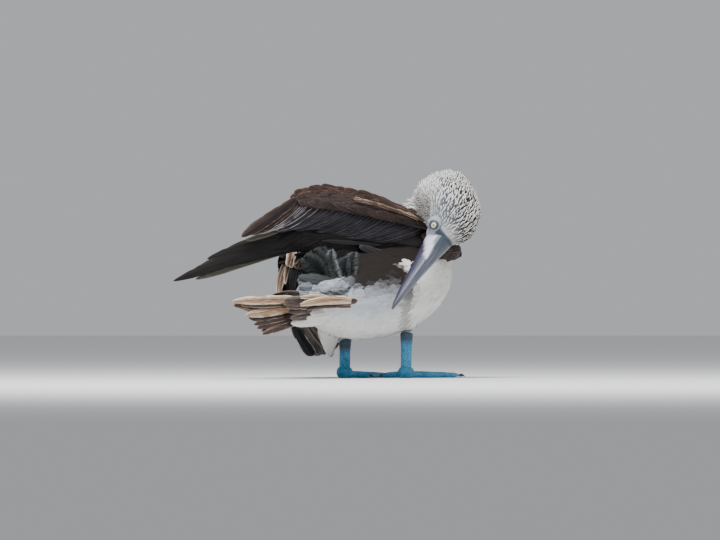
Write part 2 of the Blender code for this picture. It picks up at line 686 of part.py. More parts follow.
NODES = {
    "torso": (torso, material("body_feathers", (0.80, 0.78, 0.74), 0.75)),
    "neck": (neck, material("neck_feathers", (0.62, 0.60, 0.56), 0.75)),
    "head": (head, material("head_feathers", (0.70, 0.68, 0.64), 0.75)),
    "bill_upper": (bill_upper, material("bill_horn", (0.20, 0.24, 0.32), 0.40)),
    "bill_lower": (bill_lower, material("lower_bill_horn", (0.18, 0.21, 0.30), 0.40)),
    "eye_left": (eyes["left"], material("eye_gloss", (0.75, 0.70, 0.45), 0.08)),
    "eye_right": (eyes["right"], material("far_eye_gloss", (0.75, 0.70, 0.45), 0.08)),
    "thigh_left": (thighs["left"], material("left_thigh_feathers", (0.80, 0.78, 0.74), 0.75)),
    "thigh_right": (thighs["right"], material("right_thigh_feathers", (0.66, 0.64, 0.60), 0.75)),
    "shank_left": (shanks["left"], material("left_shank_skin", (0.05, 0.26, 0.48), 0.50)),
    "shank_right": (shanks["right"], material("right_shank_skin", (0.05, 0.26, 0.48), 0.50)),
    "foot_left": (feet["left"], material("left_foot_skin", (0.05, 0.30, 0.52), 0.48)),
    "foot_right": (feet["right"], material("right_foot_skin", (0.05, 0.30, 0.52), 0.48)),
    "wing_right": (wing_right, material("right_wing_feathers", (0.060, 0.048, 0.045), 0.60)),
    "wing_left": (wing_left, material("left_wing_feathers", (0.085, 0.065, 0.055), 0.62)),
    "wing_left_hand": (wing_left_hand, material("left_primaries", (0.035, 0.030, 0.032), 0.60)),
    "tail": (tail, material("tail_feathers", (0.20, 0.13, 0.09), 0.62)),
}
for name, (node, made_of) in NODES.items():
    as_node(node, name, made_of)
    node.data.transform(Matrix.Translation(STANCE))
for tool in list(tools.objects):
    bpy.data.objects.remove(tool, do_unlink=True)
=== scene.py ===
import itertools
import math

import bpy
import numpy as np
from mathutils import Matrix, Vector
from mathutils.bvhtree import BVHTree


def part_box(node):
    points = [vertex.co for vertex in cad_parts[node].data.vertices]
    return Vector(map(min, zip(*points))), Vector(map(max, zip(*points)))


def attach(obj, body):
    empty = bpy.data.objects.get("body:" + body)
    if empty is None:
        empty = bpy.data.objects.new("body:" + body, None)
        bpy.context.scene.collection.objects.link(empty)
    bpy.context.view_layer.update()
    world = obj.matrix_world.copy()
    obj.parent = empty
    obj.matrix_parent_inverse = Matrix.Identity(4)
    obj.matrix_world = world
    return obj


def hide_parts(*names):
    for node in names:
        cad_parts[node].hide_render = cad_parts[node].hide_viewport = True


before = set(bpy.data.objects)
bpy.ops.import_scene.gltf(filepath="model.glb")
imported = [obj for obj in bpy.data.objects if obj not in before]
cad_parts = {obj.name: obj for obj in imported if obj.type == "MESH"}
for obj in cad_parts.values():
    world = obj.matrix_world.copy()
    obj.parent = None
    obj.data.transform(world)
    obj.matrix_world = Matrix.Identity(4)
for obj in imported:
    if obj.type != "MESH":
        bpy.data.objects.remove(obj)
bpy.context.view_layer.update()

# Stance
# The bird is measured in centimetres from the floor between its feet, ahead along X and left along Y.
# Its turned head has its own three directions, and its near eye says where the solids hold the bird.
CM = 0.01
SKULL = Vector((-0.7, -8.9, 18.5))
AHEAD = Vector((-0.668, 0.250, -0.701)).normalized()
CROWN = Vector((-0.031, 0.932, 0.361)).normalized()
CHEEK = CROWN.cross(AHEAD).normalized()
HEAD_AXES = np.array([AHEAD, CROWN, CHEEK])
EYE_SEAT = (3.35, -0.75, 1.95)


def on_head(ahead, up, left):
    """A place on the head, in the bird's centimetres."""
    return SKULL + AHEAD * ahead + CROWN * up + CHEEK * left


eye_low, eye_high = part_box("eye_left")
STANCE = (eye_low + eye_high) / 2 - on_head(*EYE_SEAT) * CM
STANCE.z = 0.0


def placed(point):
    """Metres in the frame, from the bird's centimetres."""
    return Vector(point) * CM + STANCE


# Skin
# Under the feathers lies one thin, soft hide from the brow to the rump and down to the ankles.
# It is read from the solids of trunk, neck, head and thighs, and sinks under them by the coat's depth.
TRUNK_AXIS = ((-18.1, 8.6), (-9.0, 9.0), (4.0, 10.4), (13.9, 13.3))
TRUNK_RINGS, TRUNK_SIDES = 40, 48
TRUNK_LEAST = 0.002
DOUBLES = 1e-5
SKIN_CELL = 0.0022
SEAM_OVERLAP = 0.0005
COAT_DEPTH = 0.0028
COAT_THINS = ((0.022, 0.060), (0.2, 1.0))
FACE_LINE = ((-3.6, -2.4, -1.4, -0.4, 0.6), (3.55, 3.60, 3.35, 3.35, 3.6))
FACE_CENTRE, FACE_REACH = (3.6, -1.2, 0), 3.2
BARE_EYE = 0.92
BROW_LINE = ((0.0, 0.5, 1.2, 1.97, 2.72, 4.15, 5.0), (4.4, 3.4, 1.55, 1.0, 0.7, 0.25, -0.1))
BROW_ROUND = 0.05
ROOT_LEVELS = ((3.0, 4.2), (-0.95, -1.38))
ROOT_AHEAD = (2.6, 3.3, 3.8, 4.3, 5.7)
ROOT_HEIGHTS = (9.0, 2.5, 1.85, 1.40, 1.15)
ROOT_WIDTHS = (9.0, 2.4, 1.80, 1.36, 1.05)
CHIN_TOP, CHIN_DROP = -1.0, 3.95
HEAD_REACH = 0.006
BREAST_FRONT = 10.8


def pick(*objects):
    """Selects these objects alone and makes the first active."""
    bpy.ops.object.select_all(action="DESELECT")
    for obj in objects:
        obj.select_set(True)
    bpy.context.view_layer.objects.active = objects[0]


def in_scene(name, data):
    """An object that holds this data, linked to the scene."""
    obj = bpy.data.objects.new(name, data)
    bpy.context.scene.collection.objects.link(obj)
    return obj


def new_object(name, points, faces):
    mesh = bpy.data.meshes.new(name)
    mesh.from_pydata(np.asarray(points).tolist(), [], faces)
    return in_scene(name, mesh)


def edited(obj, operator, **settings):
    """Runs one edit-mode operator on the whole of this object."""
    pick(obj)
    bpy.ops.object.mode_set(mode="EDIT")
    bpy.ops.mesh.select_all(action="SELECT")
    operator(**settings)
    bpy.ops.object.mode_set(mode="OBJECT")


def copied(name):
    """A merged copy of a CAD node, for shaping."""
    twin = in_scene(name + "_copy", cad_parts[name].data.copy())
    edited(twin, bpy.ops.mesh.remove_doubles, threshold=DOUBLES)
    return twin


def closed_form(name, rings):
    """A closed form through rings of equal count, capped at both ends, with its faces turned outwards."""
    count = len(rings[0])
    points = [point for ring in rings for point in ring]
    faces = [tuple(range(count))[::-1], tuple(range(len(points) - count, len(points)))]
    for row in range(len(rings) - 1):
        for i in range(count):
            here, beside = row * count + i, row * count + (i + 1) % count
            faces.append((here, beside, beside + count, here + count))
    form = new_object(name, points, faces)
    edited(form, bpy.ops.mesh.normals_make_consistent, inside=False)
    return form


def tree_of(obj):
    mesh = obj.data
    return BVHTree.FromPolygons([v.co for v in mesh.vertices], [p.vertices for p in mesh.polygons])


def read_out(elements, key, width, kind=float):
    """One property of every vertex, normal, triangle or corner, as rows of an array."""
    found = np.empty(len(elements) * width, kind)
    elements.foreach_get(key, found)
    return found.reshape(-1, width)


def coordinates(mesh):
    return read_out(mesh.vertices, "co", 3)


def vertex_normals(mesh):
    return read_out(mesh.vertex_normals, "vector", 3)


def move_to(mesh, points):
    mesh.vertices.foreach_set("co", np.asarray(points).ravel())
    mesh.update()


def applied(obj, kind, **settings):
    """Adds one modifier with these settings and applies it."""
    step = obj.modifiers.new(kind.lower(), kind)
    for setting, value in settings.items():
        setattr(step, setting, value)
    pick(obj)
    bpy.ops.object.modifier_apply(modifier=step.name)


def trunk_form():
    """The trunk without its loose plumes, from rays cast outwards from its axis."""
    solid = copied("torso")
    tree = tree_of(solid)
    bpy.data.objects.remove(solid)
    places, levels = zip(*TRUNK_AXIS)
    turns = np.linspace(0, 2 * math.pi, TRUNK_SIDES, endpoint=False)
    ways = [Vector((0, math.cos(turn), math.sin(turn))) for turn in turns]
    rings = []
    for x in np.linspace(places[0], places[-1], TRUNK_RINGS):
        centre = placed((x, 0, np.interp(x, places, levels)))
        hits = [tree.ray_cast(centre, way) for way in ways]
        reach = [hit[3] if hit[0] else TRUNK_LEAST for hit in hits]
        around = np.array([np.roll(reach, shift) for shift in (-2, -1, 0, 1, 2)])
        rings.append([centre + way * far for way, far in zip(ways, np.median(around, axis=0))])
    return closed_form("trunk", rings)


def in_bird(points):
    """The bird's centimetres, from metres in the frame."""
    return (np.asarray(points) - np.array(STANCE)) / CM


def on_skull(birds):
    """How far ahead, up and left of the skull's centre each place lies, in centimetres."""
    return (birds - np.array(SKULL)) @ HEAD_AXES.T


def bare_face(points):
    """1 on the bare skin round the bill and the eyes, 0 where feathers grow."""
    places = on_skull(in_bird(points))
    ahead, up = places[:, 0], places[:, 1]
    mask = np.clip((ahead - np.interp(up, *FACE_LINE)) / 0.2, 0, 1)
    for side in (1, -1):
        seat = np.array([EYE_SEAT[0], EYE_SEAT[1], EYE_SEAT[2] * side])
        near = np.linalg.norm(places - seat, axis=1)
        mask = np.maximum(mask, np.clip((BARE_EYE - near) / 0.12, 0, 1))
    return mask * (np.linalg.norm(places - np.array(FACE_CENTRE), axis=1) < FACE_REACH)


def with_brow(points, head_tree):
    """Lowers the forehead and the chin to the bill's root, which narrows quickly past the eyes."""
    ahead, up, left = on_skull(in_bird(points)).T
    near = np.array([head_tree.find_nearest(Vector(point))[3] < HEAD_REACH for point in points])
    brow = np.interp(ahead, *BROW_LINE) - BROW_ROUND * left**2
    up = np.where(near, np.minimum(up, brow), up)
    level = np.interp(ahead, *ROOT_LEVELS)
    tall = np.interp(ahead, ROOT_AHEAD, ROOT_HEIGHTS)
    wide = np.interp(ahead, ROOT_AHEAD, ROOT_WIDTHS)
    reach = np.sqrt(((up - level) / tall) ** 2 + (left / wide) ** 2)
    pull = np.where(near & (reach > 1), 1 / np.maximum(reach, 1e-6), 1.0)
    up, left = level + (up - level) * pull, left * pull
    carved = np.stack([ahead, up, left], axis=1) @ HEAD_AXES + np.array(SKULL)
    chin = near & (up < CHIN_TOP)
    carved[:, 2] = np.where(chin, np.maximum(carved[:, 2], SKULL.z - CHIN_DROP), carved[:, 2])
    return np.where(near[:, None], carved * CM + np.array(STANCE), points)


flesh = [trunk_form()] + [copied(name) for name in ("head", "neck", "thigh_left", "thigh_right")]
head_tree = tree_of(flesh[1])
pick(*flesh)
bpy.ops.object.join()
skin = flesh[0]
skin.name = skin.data.name = "skin"
move_to(skin.data, coordinates(skin.data) + vertex_normals(skin.data) * SEAM_OVERLAP)
applied(skin, "REMESH", mode="VOXEL", voxel_size=SKIN_CELL)
applied(skin, "SMOOTH", factor=0.6, iterations=12)
surface = with_brow(coordinates(skin.data), head_tree)
move_to(skin.data, surface)
thin = np.interp(surface[:, 2], *COAT_THINS)
sink = SEAM_OVERLAP + COAT_DEPTH * (1 - bare_face(surface)) * thin
move_to(skin.data, surface - vertex_normals(skin.data) * sink[:, None])
applied(skin, "SMOOTH", factor=0.5, iterations=4)
front = in_bird(coordinates(skin.data))[:, 0] > BREAST_FRONT
skin.vertex_groups.new(name="breast").add(np.nonzero(front)[0].tolist(), 1.0, "REPLACE")
applied(skin, "SMOOTH", factor=0.5, iterations=25, vertex_group="breast")
pick(skin)
bpy.ops.object.shade_smooth()

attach(skin, "root")
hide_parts("torso", "neck", "head", "thigh_left", "thigh_right")

# Coat of small feathers
# Thousands of small, soft contour feathers overlap like shingles from the bill back over the body.
# Each is rooted in the skin, is bent to the body's form, and lies along the guides from face to tail.
GUIDES = (
    ((-4.0, -8.0, 15.0), (-0.7, -8.9, 18.5)),
    ((-0.7, -8.9, 18.5), (2.4, -7.9, 19.0)),
    ((2.4, -7.9, 19.0), (5.6, -6.5, 19.5)),
    ((5.6, -6.5, 19.5), (8.8, -4.6, 19.5)),
    ((8.8, -4.6, 19.5), (10.6, -3.1, 18.0)),
    ((10.6, -3.1, 18.0), (9.4, -1.4, 15.8)),
    ((12.6, -0.5, 14.5), (9.5, 0.0, 6.8)),
    ((9.5, 0.0, 6.8), (0.0, 0.0, 4.2)),
    ((0.0, 0.0, 4.2), (-17.5, 0.0, 7.6)),
    ((6.0, 0.0, 16.6), (-17.5, 0.0, 9.6)),
    ((11.0, -5.0, 11.0), (-16.0, -3.0, 8.6)),
    ((11.0, 5.0, 11.0), (-16.0, 3.0, 8.6)),
    ((0.6, 4.6, 7.6), (-0.4, 3.8, 3.0)),
    ((-0.9, 5.0, 7.2), (-1.2, 4.9, 2.2)),
    ((0.8, -3.8, 7.6), (0.4, -3.6, 4.0)),
)
NECK_GUIDES = 6
FACE = on_head(5.6, -1.6, 0.8)
# Where the flank's brown begins, by height; above 13.3 cm it reaches forward as painted shadow of the
# lifted wing.
FLANK_FRONT = ((10.4, 11.6, 12.9, 13.3), (0.5, 1.8, 1.8, -5.0))
ROOT_CELL = 0.0075
LIE_SPREAD = 0.12
TUFT_SHARES = (0.0, 0.38, 0.75, 1.0)
TUFT_ROWS = (0, 1, 1, 1, 2, 2, 2, 3)
TUFT_EDGES = np.array((0, -1, 0, 1, -1, 0, 1, 0))
TUFT_FACES = np.array(
    (
        (0, 3, 2), (0, 2, 1), (3, 6, 5), (3, 5, 2), (2, 5, 4), (2, 4, 1), (6, 7, 5), (5, 7, 4),
        (0, 1, 3), (1, 4, 6), (1, 6, 3), (4, 7, 6),
    )
)
TUFT_RIDGE = 0.11
TUFT_SUNK = 0.0004
TUFT_PATCH = 0.003
rng = np.random.default_rng(11)


def smooth(value, low, high):
    """0 below low, 1 above high, with an eased step between."""
    share = np.clip((value - low) / (high - low), 0, 1)
    return share * share * (3 - 2 * share)


def from_face(birds):
    """The distance from the face, in centimetres."""
    return np.linalg.norm(birds - np.array(FACE), axis=1)


def line_distance(birds, start, end):
    start, end = np.array(start), np.array(end)
    span = end - start
    share = np.clip((birds - start) @ span / (span @ span), 0, 1)
    return np.linalg.norm(birds - start - share[:, None] * span, axis=1)


def headness(birds):
    """1 on the head, 0 from the upper neck on."""
    return 1 - smooth(np.linalg.norm(birds - np.array(SKULL), axis=1), 4.4, 5.6)


def neckness(birds):
    """1 on head and neck, falling to 0 where the streaks end on breast and shoulders."""
    near = np.min([line_distance(birds, *guide) for guide in GUIDES[:NECK_GUIDES]], axis=0)
    raised = smooth(birds @ np.array((0.25, -0.45, 1.0)), 18.6, 20.2)
    return np.maximum((1 - smooth(near, 4.2, 5.4)) * raised, headness(birds))


def lie_at(birds, normals):
    """The way the feathers lie: along the nearest guides, and straight away from the face on the head."""
    total = np.zeros_like(birds)
    for start, end in GUIDES:
        way = np.array(end) - np.array(start)
        way = way / np.linalg.norm(way)
        total += way / (line_distance(birds, start, end)[:, None] + 0.4) ** 4
    total /= np.linalg.norm(total, axis=1)[:, None]
    away = birds - np.array(FACE)
    away /= np.linalg.norm(away, axis=1)[:, None]
    share = headness(birds)[:, None]
    total = total * (1 - share) + away * share
    total -= normals * np.sum(total * normals, axis=1)[:, None]
    return total / np.linalg.norm(total, axis=1)[:, None]


def markings(birds, normals):
    """Streaks of head and neck, brown of back and flank, painted shade under the wing and in the thigh's
    crease, and blue-grey painted shade on the hind flank and rump.
    """
    x, y, z = birds.T
    streak = neckness(birds)
    front = -x - np.interp(z, *FLANK_FRONT)
    # The flank's own brown, deepened towards the top as painted shade under the lifted wing.
    flank = smooth(z, 8.2, 12.2) * smooth(front, 0.0, 2.0)
    flank = flank * smooth(x, -13.2, -10.0) * smooth(np.abs(y), 0.6, 2.4)
    breast = smooth(x, -4.0, -2.0) * smooth(-y, 2.5, 4.0)
    back = smooth(normals[:, 2], 0.25, 0.6) * smooth(-x, -9.0, -6.0)
    back = back * smooth(x, -13.0, -10.0) * (1 - breast)
    # Painted shade: a darker band in the crease between the near thigh and the breast.
    across = 0.466 * x - y
    thigh_crease_shade = smooth(across, 3.4, 4.6) * (1 - smooth(across, 5.0, 5.5))
    thigh_crease_shade = thigh_crease_shade * smooth(z, 5.0, 7.5) * (1 - smooth(z, 11, 13))
    brown_and_shade = np.clip(np.maximum(flank, back) + 0.4 * thigh_crease_shade * (y < 0), 0, 1) * (1 - streak)
    brown_and_shade = 1 - (1 - brown_and_shade) ** 1.5
    # Blue-grey painted shade on the hind flank and rump.
    painted_shade = smooth(-x, 2.0, 7.0) * smooth(z, 4.5, 8.5)
    ahead, up = on_skull(birds).T[:2]
    ink = smooth(-0.86 * up - 0.5 * ahead, -2.4, 0.2) * smooth(from_face(birds), 1.2, 4.0)
    return {"streak": streak, "brown_and_shade": brown_and_shade, "painted_shade": painted_shade, "ink": 0.12 + 0.88 * ink}


def give(mesh, name, values):
    """Writes one number per vertex as a named attribute."""
    layer = mesh.attributes.get(name) or mesh.attributes.new(name, "FLOAT", "POINT")
    layer.data.foreach_set("value", np.asarray(values, np.float32).ravel())


def give_map(mesh, places):
    """Writes the mesh's OFBake map, one place for each corner of its faces."""
    mesh.uv_layers.new(name="OFBake").data.foreach_set("uv", places.astype(np.float32).ravel())


skin.data.uv_layers.new(name="OFBake")
edited(skin, bpy.ops.uv.smart_project, angle_limit=math.radians(66), island_margin=0.002)
skin_mesh = skin.data
skin_mesh.calc_loop_triangles()
skin_tree = tree_of(skin)
skin_points, skin_normals = coordinates(skin_mesh), vertex_normals(skin_mesh)
for name, values in markings(in_bird(skin_points), skin_normals).items():
    give(skin_mesh, name, values)
give(skin_mesh, "bare", bare_face(skin_points))
# The upper part of the bare face, where it turns up to the light, is painted pale as a highlight.
ahead, up, left = on_skull(in_bird(skin_points)).T
turn = np.degrees(np.arctan2(np.abs(left), up + 1.2))
give(skin_mesh, "pale", 1 - smooth(turn, 80, 96))
for name, value in {"share": 0.25, "edge": 0.6, "spark": 0.5}.items():
    give(skin_mesh, name, np.full(len(skin_points), value))
corners = read_out(skin_mesh.loop_triangles, "vertices", 3, np.int32)
loops = read_out(skin_mesh.loop_triangles, "loops", 3, np.int32)
skin_uvs = read_out(skin_mesh.uv_layers["OFBake"].data, "uv", 2, np.float32)


def scattered(count, spacing_at):
    """Roots on the skin, no two nearer than the spacing that their place asks for."""
    a, b, c = (skin_points[corners[:, i]] for i in range(3))
    areas = np.linalg.norm(np.cross(b - a, c - a), axis=1)
    chosen = rng.choice(len(corners), count, p=areas / areas.sum())
    u, v = rng.random((2, count))
    flip = u + v > 1
    u[flip], v[flip] = 1 - u[flip], 1 - v[flip]
    weights = np.stack([1 - u - v, u, v], axis=1)
    rows = skin_points[corners[chosen]], skin_normals[corners[chosen]], skin_uvs[loops[chosen]]
    places, normals, patches = (np.einsum("nk,nkd->nd", weights, row) for row in rows)
    normals /= np.linalg.norm(normals, axis=1)[:, None]
    spacing = spacing_at(in_bird(places)) * CM
    keep = (bare_face(places) < 0.5) & (spacing > 0)
    grid, kept = {}, []
    for i in np.nonzero(keep)[0]:
        place, near = places[i], spacing[i]
        key = tuple((place // ROOT_CELL).astype(int))
        cells = itertools.product(*(range(step - 1, step + 2) for step in key))
        others = (other for cell in cells for other in grid.get(cell, ()))
        if all(np.sum((places[other] - place) ** 2) >= near * near for other in others):
            grid.setdefault(key, []).append(i)
            kept.append(i)
    return places[kept], normals[kept], patches[kept]


def on_skin(points):
    """The nearest places on the skin, and the ways it faces there."""
    hits = [skin_tree.find_nearest(Vector(point)) for point in points]
    return [np.array([list(hit[i]) for hit in hits]) for i in (0, 1)]


def smooth_mesh(name, points, faces):
    """A smoothly shaded mesh from arrays of points and of faces of one kind."""
    mesh = bpy.data.meshes.new(name)
    mesh.vertices.add(len(points))
    mesh.vertices.foreach_set("co", points.ravel())
    mesh.loops.add(faces.size)
    mesh.loops.foreach_set("vertex_index", faces.ravel().astype(np.int32))
    mesh.polygons.add(len(faces))
    mesh.polygons.foreach_set("loop_start", np.arange(0, faces.size, faces.shape[1], dtype=np.int32))
    mesh.polygons.foreach_set("use_smooth", np.ones(len(faces), bool))
    mesh.update(calc_edges=True)
    return mesh


def tufts(name, places, patches, lies, lengths, widths, lifts, taper, softness, marks):
    """One closed, ridged vane of twelve faces a root, bent to follow the skin below it."""
    count, each = len(places), len(TUFT_ROWS)
    spine, ups = [], []
    for share in TUFT_SHARES:
        feet, tops = on_skin(places + lies * (lengths * share)[:, None])
        rise = lifts * lengths * share**1.4 - TUFT_SUNK * (share == 0)
        spine.append(feet + tops * rise[:, None])
        ups.append(tops)
    body = np.empty((count, each, 3))
    body[:, 0], body[:, -1] = spine[0], spine[-1]
    for row, wide in ((1, 1.0), (2, taper)):
        ahead = spine[row + 1] - spine[row - 1]
        side = np.cross(ups[row], ahead)
        side /= np.linalg.norm(side, axis=1)[:, None]
        half = side * (widths * wide / 2)[:, None]
        first = 3 * row - 2
        body[:, first] = spine[row] + half
        body[:, first + 1] = spine[row] + ups[row] * (TUFT_RIDGE * widths * wide)[:, None]
        body[:, first + 2] = spine[row] - half
    faces = (TUFT_FACES[None] + each * np.arange(count)[:, None, None]).reshape(-1, 3)
    mesh = smooth_mesh(name, body.reshape(-1, 3), faces)
    below = np.stack([ups[row] for row in TUFT_ROWS], axis=1).reshape(-1, 3)
    soft = vertex_normals(mesh) * (1 - softness) + below * softness
    mesh.normals_split_custom_set_from_vertices(soft.tolist())
    share = np.array(TUFT_SHARES)[list(TUFT_ROWS)]
    give(mesh, "share", np.tile(share, count))
    give(mesh, "edge", np.tile(TUFT_EDGES, count))
    give(mesh, "spark", np.repeat(rng.random(count), each))
    for mark, values in marks.items():
        give(mesh, mark, np.repeat(values, each))
    offset = np.stack([share - 0.5, TUFT_EDGES * 0.5], axis=1) * TUFT_PATCH
    give_map(mesh, (patches[:, None, :] + offset[None]).reshape(-1, 2)[faces.ravel()])
    return in_scene(name, mesh)


def head_spacing(birds):
    return np.where(neckness(birds) > 0.5, 0.225 + 0.10 * (1 - headness(birds)), -1)


def body_spacing(birds):
    return np.where(neckness(birds) > 0.5, -1, 0.36)


def well_laid(places, normals, lies, lengths):
    """Whether each tip comes down on the skin well ahead of its root and faces much as the root does."""
    feet, tops = on_skin(places + lies * lengths[:, None])
    reach = np.linalg.norm(feet - places, axis=1)
    agree = np.sum(tops * normals, axis=1)
    return (reach > 0.6 * lengths) & (agree > 0.3)


def grown(name, count, spacing_at, length, width, lift, taper, softness):
    """Scatters one coat piece and gives each of its feathers a size, lie and lift near these."""
    places, normals, patches = scattered(count, spacing_at)
    birds = in_bird(places)
    lies = lie_at(birds, normals)
    sideways = np.cross(normals, lies)
    lies = lies + sideways * rng.normal(0, LIE_SPREAD, len(places))[:, None]
    lies /= np.linalg.norm(lies, axis=1)[:, None]
    vary = rng.uniform(0.8, 1.2, len(places))
    lengths, widths = length(birds) * vary * CM, width(birds) * vary * CM
    lifts = lift(birds) * rng.uniform(0.6, 1.4, len(places))
    laid = well_laid(places, normals, lies, lengths)
    marks = markings(birds[laid], normals[laid])
    kept = (values[laid] for values in (places, patches, lies, lengths, widths, lifts))
    piece = tufts(name, *kept, taper, softness, marks)
    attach(piece, "root")
    return piece


def ruffle(birds):
    """Feathers stand out more on the crown's side of the head and along the nape."""
    return 0.14 + 0.40 * smooth(on_skull(birds)[:, 1], 1.0, 3.4)


head_coat = grown(
    "head_and_neck_coat",
    240000,
    head_spacing,
    lambda birds: 0.50 + 0.42 * smooth(from_face(birds), 1.5, 6.0),
    lambda birds: 0.17 + 0.12 * smooth(from_face(birds), 1.5, 6.0),
    ruffle,
    0.55,
    0.35,
)
body_coat = grown(
    "body_coat",
    120000,
    body_spacing,
    lambda birds: np.interp(birds[:, 2], (3.5, 8.0), (1.0, 2.2)),
    lambda birds: np.interp(birds[:, 2], (3.5, 8.0), (0.5, 1.0)),
    lambda birds: np.full(len(birds), 0.045),
    0.75,
    0.75,
)

# Coat paint
# White feathers with dark brown hearts on head and neck, plain white below, brown on back and flanks.
# The flank's brown deepens under the wing as painted shade, a painted shaded crease runs by the thigh,
# and blue-grey painted shade lies on the hind flank and rump.
# The coat and the skin under it share one paint, and the skin adds the bare grey face, paler on its upper
# part as a painted highlight.


class Nodes:
    """Adds nodes to one tree, wired as they are named."""

    def __init__(self, tree):
        self.tree = tree

    def add(self, kind, inputs=(), **settings):
        node = self.tree.nodes.new(kind)
        for setting, value in settings.items():
            setattr(node, setting, value)
        for socket, value in dict(inputs).items():
            self.put(node.inputs[socket], value)
        return node

    def put(self, socket, value):
        if isinstance(value, bpy.types.NodeSocket):
            self.tree.links.new(value, socket)
        else:
            socket.default_value = value

    def math(self, operation, *values):
        return self.add("ShaderNodeMath", dict(enumerate(values)), operation=operation).outputs[0]

    def times(self, *values):
        return self.math("MULTIPLY", *values)

    def combine(self, x, y, z=0.0):
        """A place from three values, for a texture to read."""
        return self.add("ShaderNodeCombineXYZ", {"X": x, "Y": y, "Z": z}).outputs[0]

    def bump(self, shader, strength, distance, height):
        """Raises the shader's surface by this height."""
        inputs = {"Strength": strength, "Distance": distance, "Height": height}
        self.put(shader.inputs["Normal"], self.add("ShaderNodeBump", inputs).outputs[0])

    def ramp(self, value, low, high):
        """An eased step from 0 at low to 1 at high."""
        inputs = {"Value": value, "From Min": low, "From Max": high}
        return self.add("ShaderNodeMapRange", inputs, interpolation_type="SMOOTHSTEP").outputs[0]

    def mix(self, share, first, second):
        inputs = {"Factor": share, 6: first, 7: second}
        return self.add("ShaderNodeMix", inputs, data_type="RGBA").outputs[2]

    def attribute(self, name):
        return self.add("ShaderNodeAttribute", attribute_name=name).outputs["Fac"]

    def noise(self, scale, detail=3.0, vector=None):
        inputs = {"Scale": scale, "Detail": detail}
        if vector is not None:
            inputs["Vector"] = vector
        return self.add("ShaderNodeTexNoise", inputs).outputs["Fac"]


def new_group(name, inputs, outputs):
    """An empty shader group with named sockets, and its two end nodes."""
    group = bpy.data.node_groups.new(name, "ShaderNodeTree")
    for socket, kind, value in inputs:
        made = group.interface.new_socket(name=socket, in_out="INPUT", socket_type="NodeSocket" + kind)
        made.default_value = value
    for socket, kind in outputs:
        group.interface.new_socket(name=socket, in_out="OUTPUT", socket_type="NodeSocket" + kind)
    return group, group.nodes.new("NodeGroupInput"), group.nodes.new("NodeGroupOutput")


def new_material(name, roughness, **settings):
    """A Principled material and the helper that wires its tree."""
    made = bpy.data.materials.new(name)
    made.use_nodes = True
    shader = made.node_tree.nodes["Principled BSDF"]
    shader.inputs["Roughness"].default_value = roughness
    for socket, value in settings.items():
        shader.inputs[socket.replace("_", " ")].default_value = value
    return made, Nodes(made.node_tree), shader


coat_paint, start, end = new_group(
    "small_feather_paint",
    (
        ("White", "Color", (0.84, 0.83, 0.80, 1)),
        ("Dark", "Color", (0.030, 0.022, 0.019, 1)),
        ("Brown", "Color", (0.015, 0.011, 0.009, 1)),
        ("Shade", "Color", (0.36, 0.41, 0.49, 1)),
    ),
    (("Color", "Color"), ("Height", "Float")),
)
wire = Nodes(coat_paint)
share, edge, spark = (wire.attribute(name) for name in ("share", "edge", "spark"))
side = wire.math("ABSOLUTE", edge)
vary = wire.math("MULTIPLY_ADD", spark, 0.5, -0.17)
opening = wire.math("MULTIPLY_ADD", wire.ramp(share, 0.35, 0.9), 1.05, vary)
heart = wire.ramp(wire.math("SUBTRACT", side, opening), -0.12, 0.12)
streaked = wire.times(wire.times(heart, wire.attribute("streak")), wire.attribute("ink"))
colour = wire.mix(streaked, start.outputs["White"], start.outputs["Dark"])
# Mixes in the blue-grey painted shade of the hind flank and rump.
colour = wire.mix(wire.times(wire.attribute("painted_shade"), 0.70), colour, start.outputs["Shade"])
# Brown of back and flank; on the flank it also carries painted shade under the wing and in the thigh's
# crease.
colour = wire.mix(wire.attribute("brown_and_shade"), colour, start.outputs["Brown"])
value = wire.math("MULTIPLY_ADD", spark, 0.16, 0.90)
varied = wire.add("ShaderNodeHueSaturation", {"Color": colour, "Value": value})
wire.put(end.inputs["Color"], varied.outputs[0])
barb_line = wire.math("MULTIPLY_ADD", side, 34.0, wire.times(share, 60.0))
wire.put(end.inputs["Height"], wire.math("SINE", barb_line))

plumage, wire, shader = new_material("small_feathers", 0.75, Sheen_Weight=0.04, Specular_IOR_Level=0.2)
paint = wire.add("ShaderNodeGroup", node_tree=coat_paint)
wire.put(shader.inputs["Base Color"], paint.outputs["Color"])
wire.bump(shader, 0.25, 0.0003, paint.outputs["Height"])
for piece in (head_coat, body_coat):
    piece.data.materials.append(plumage)

hide, wire, shader = new_material("skin", 0.55, Specular_IOR_Level=0.4)
paint = wire.add("ShaderNodeGroup", node_tree=coat_paint)
mottle = wire.noise(140.0)
face = wire.mix(wire.ramp(mottle, 0.35, 0.7), (0.026, 0.042, 0.062, 1), (0.052, 0.074, 0.100, 1))
# Painted highlight on the upper bare face.
face_highlight = wire.mix(wire.ramp(mottle, 0.3, 0.7), (0.36, 0.38, 0.46, 1), (0.66, 0.67, 0.76, 1))
face = wire.mix(wire.attribute("pale"), face, face_highlight)
wire.put(shader.inputs["Base Color"], wire.mix(wire.attribute("bare"), paint.outputs["Color"], face))
wire.bump(shader, 0.5, 0.0004, wire.noise(900.0))
skin.data.materials.clear()
skin.data.materials.append(hide)

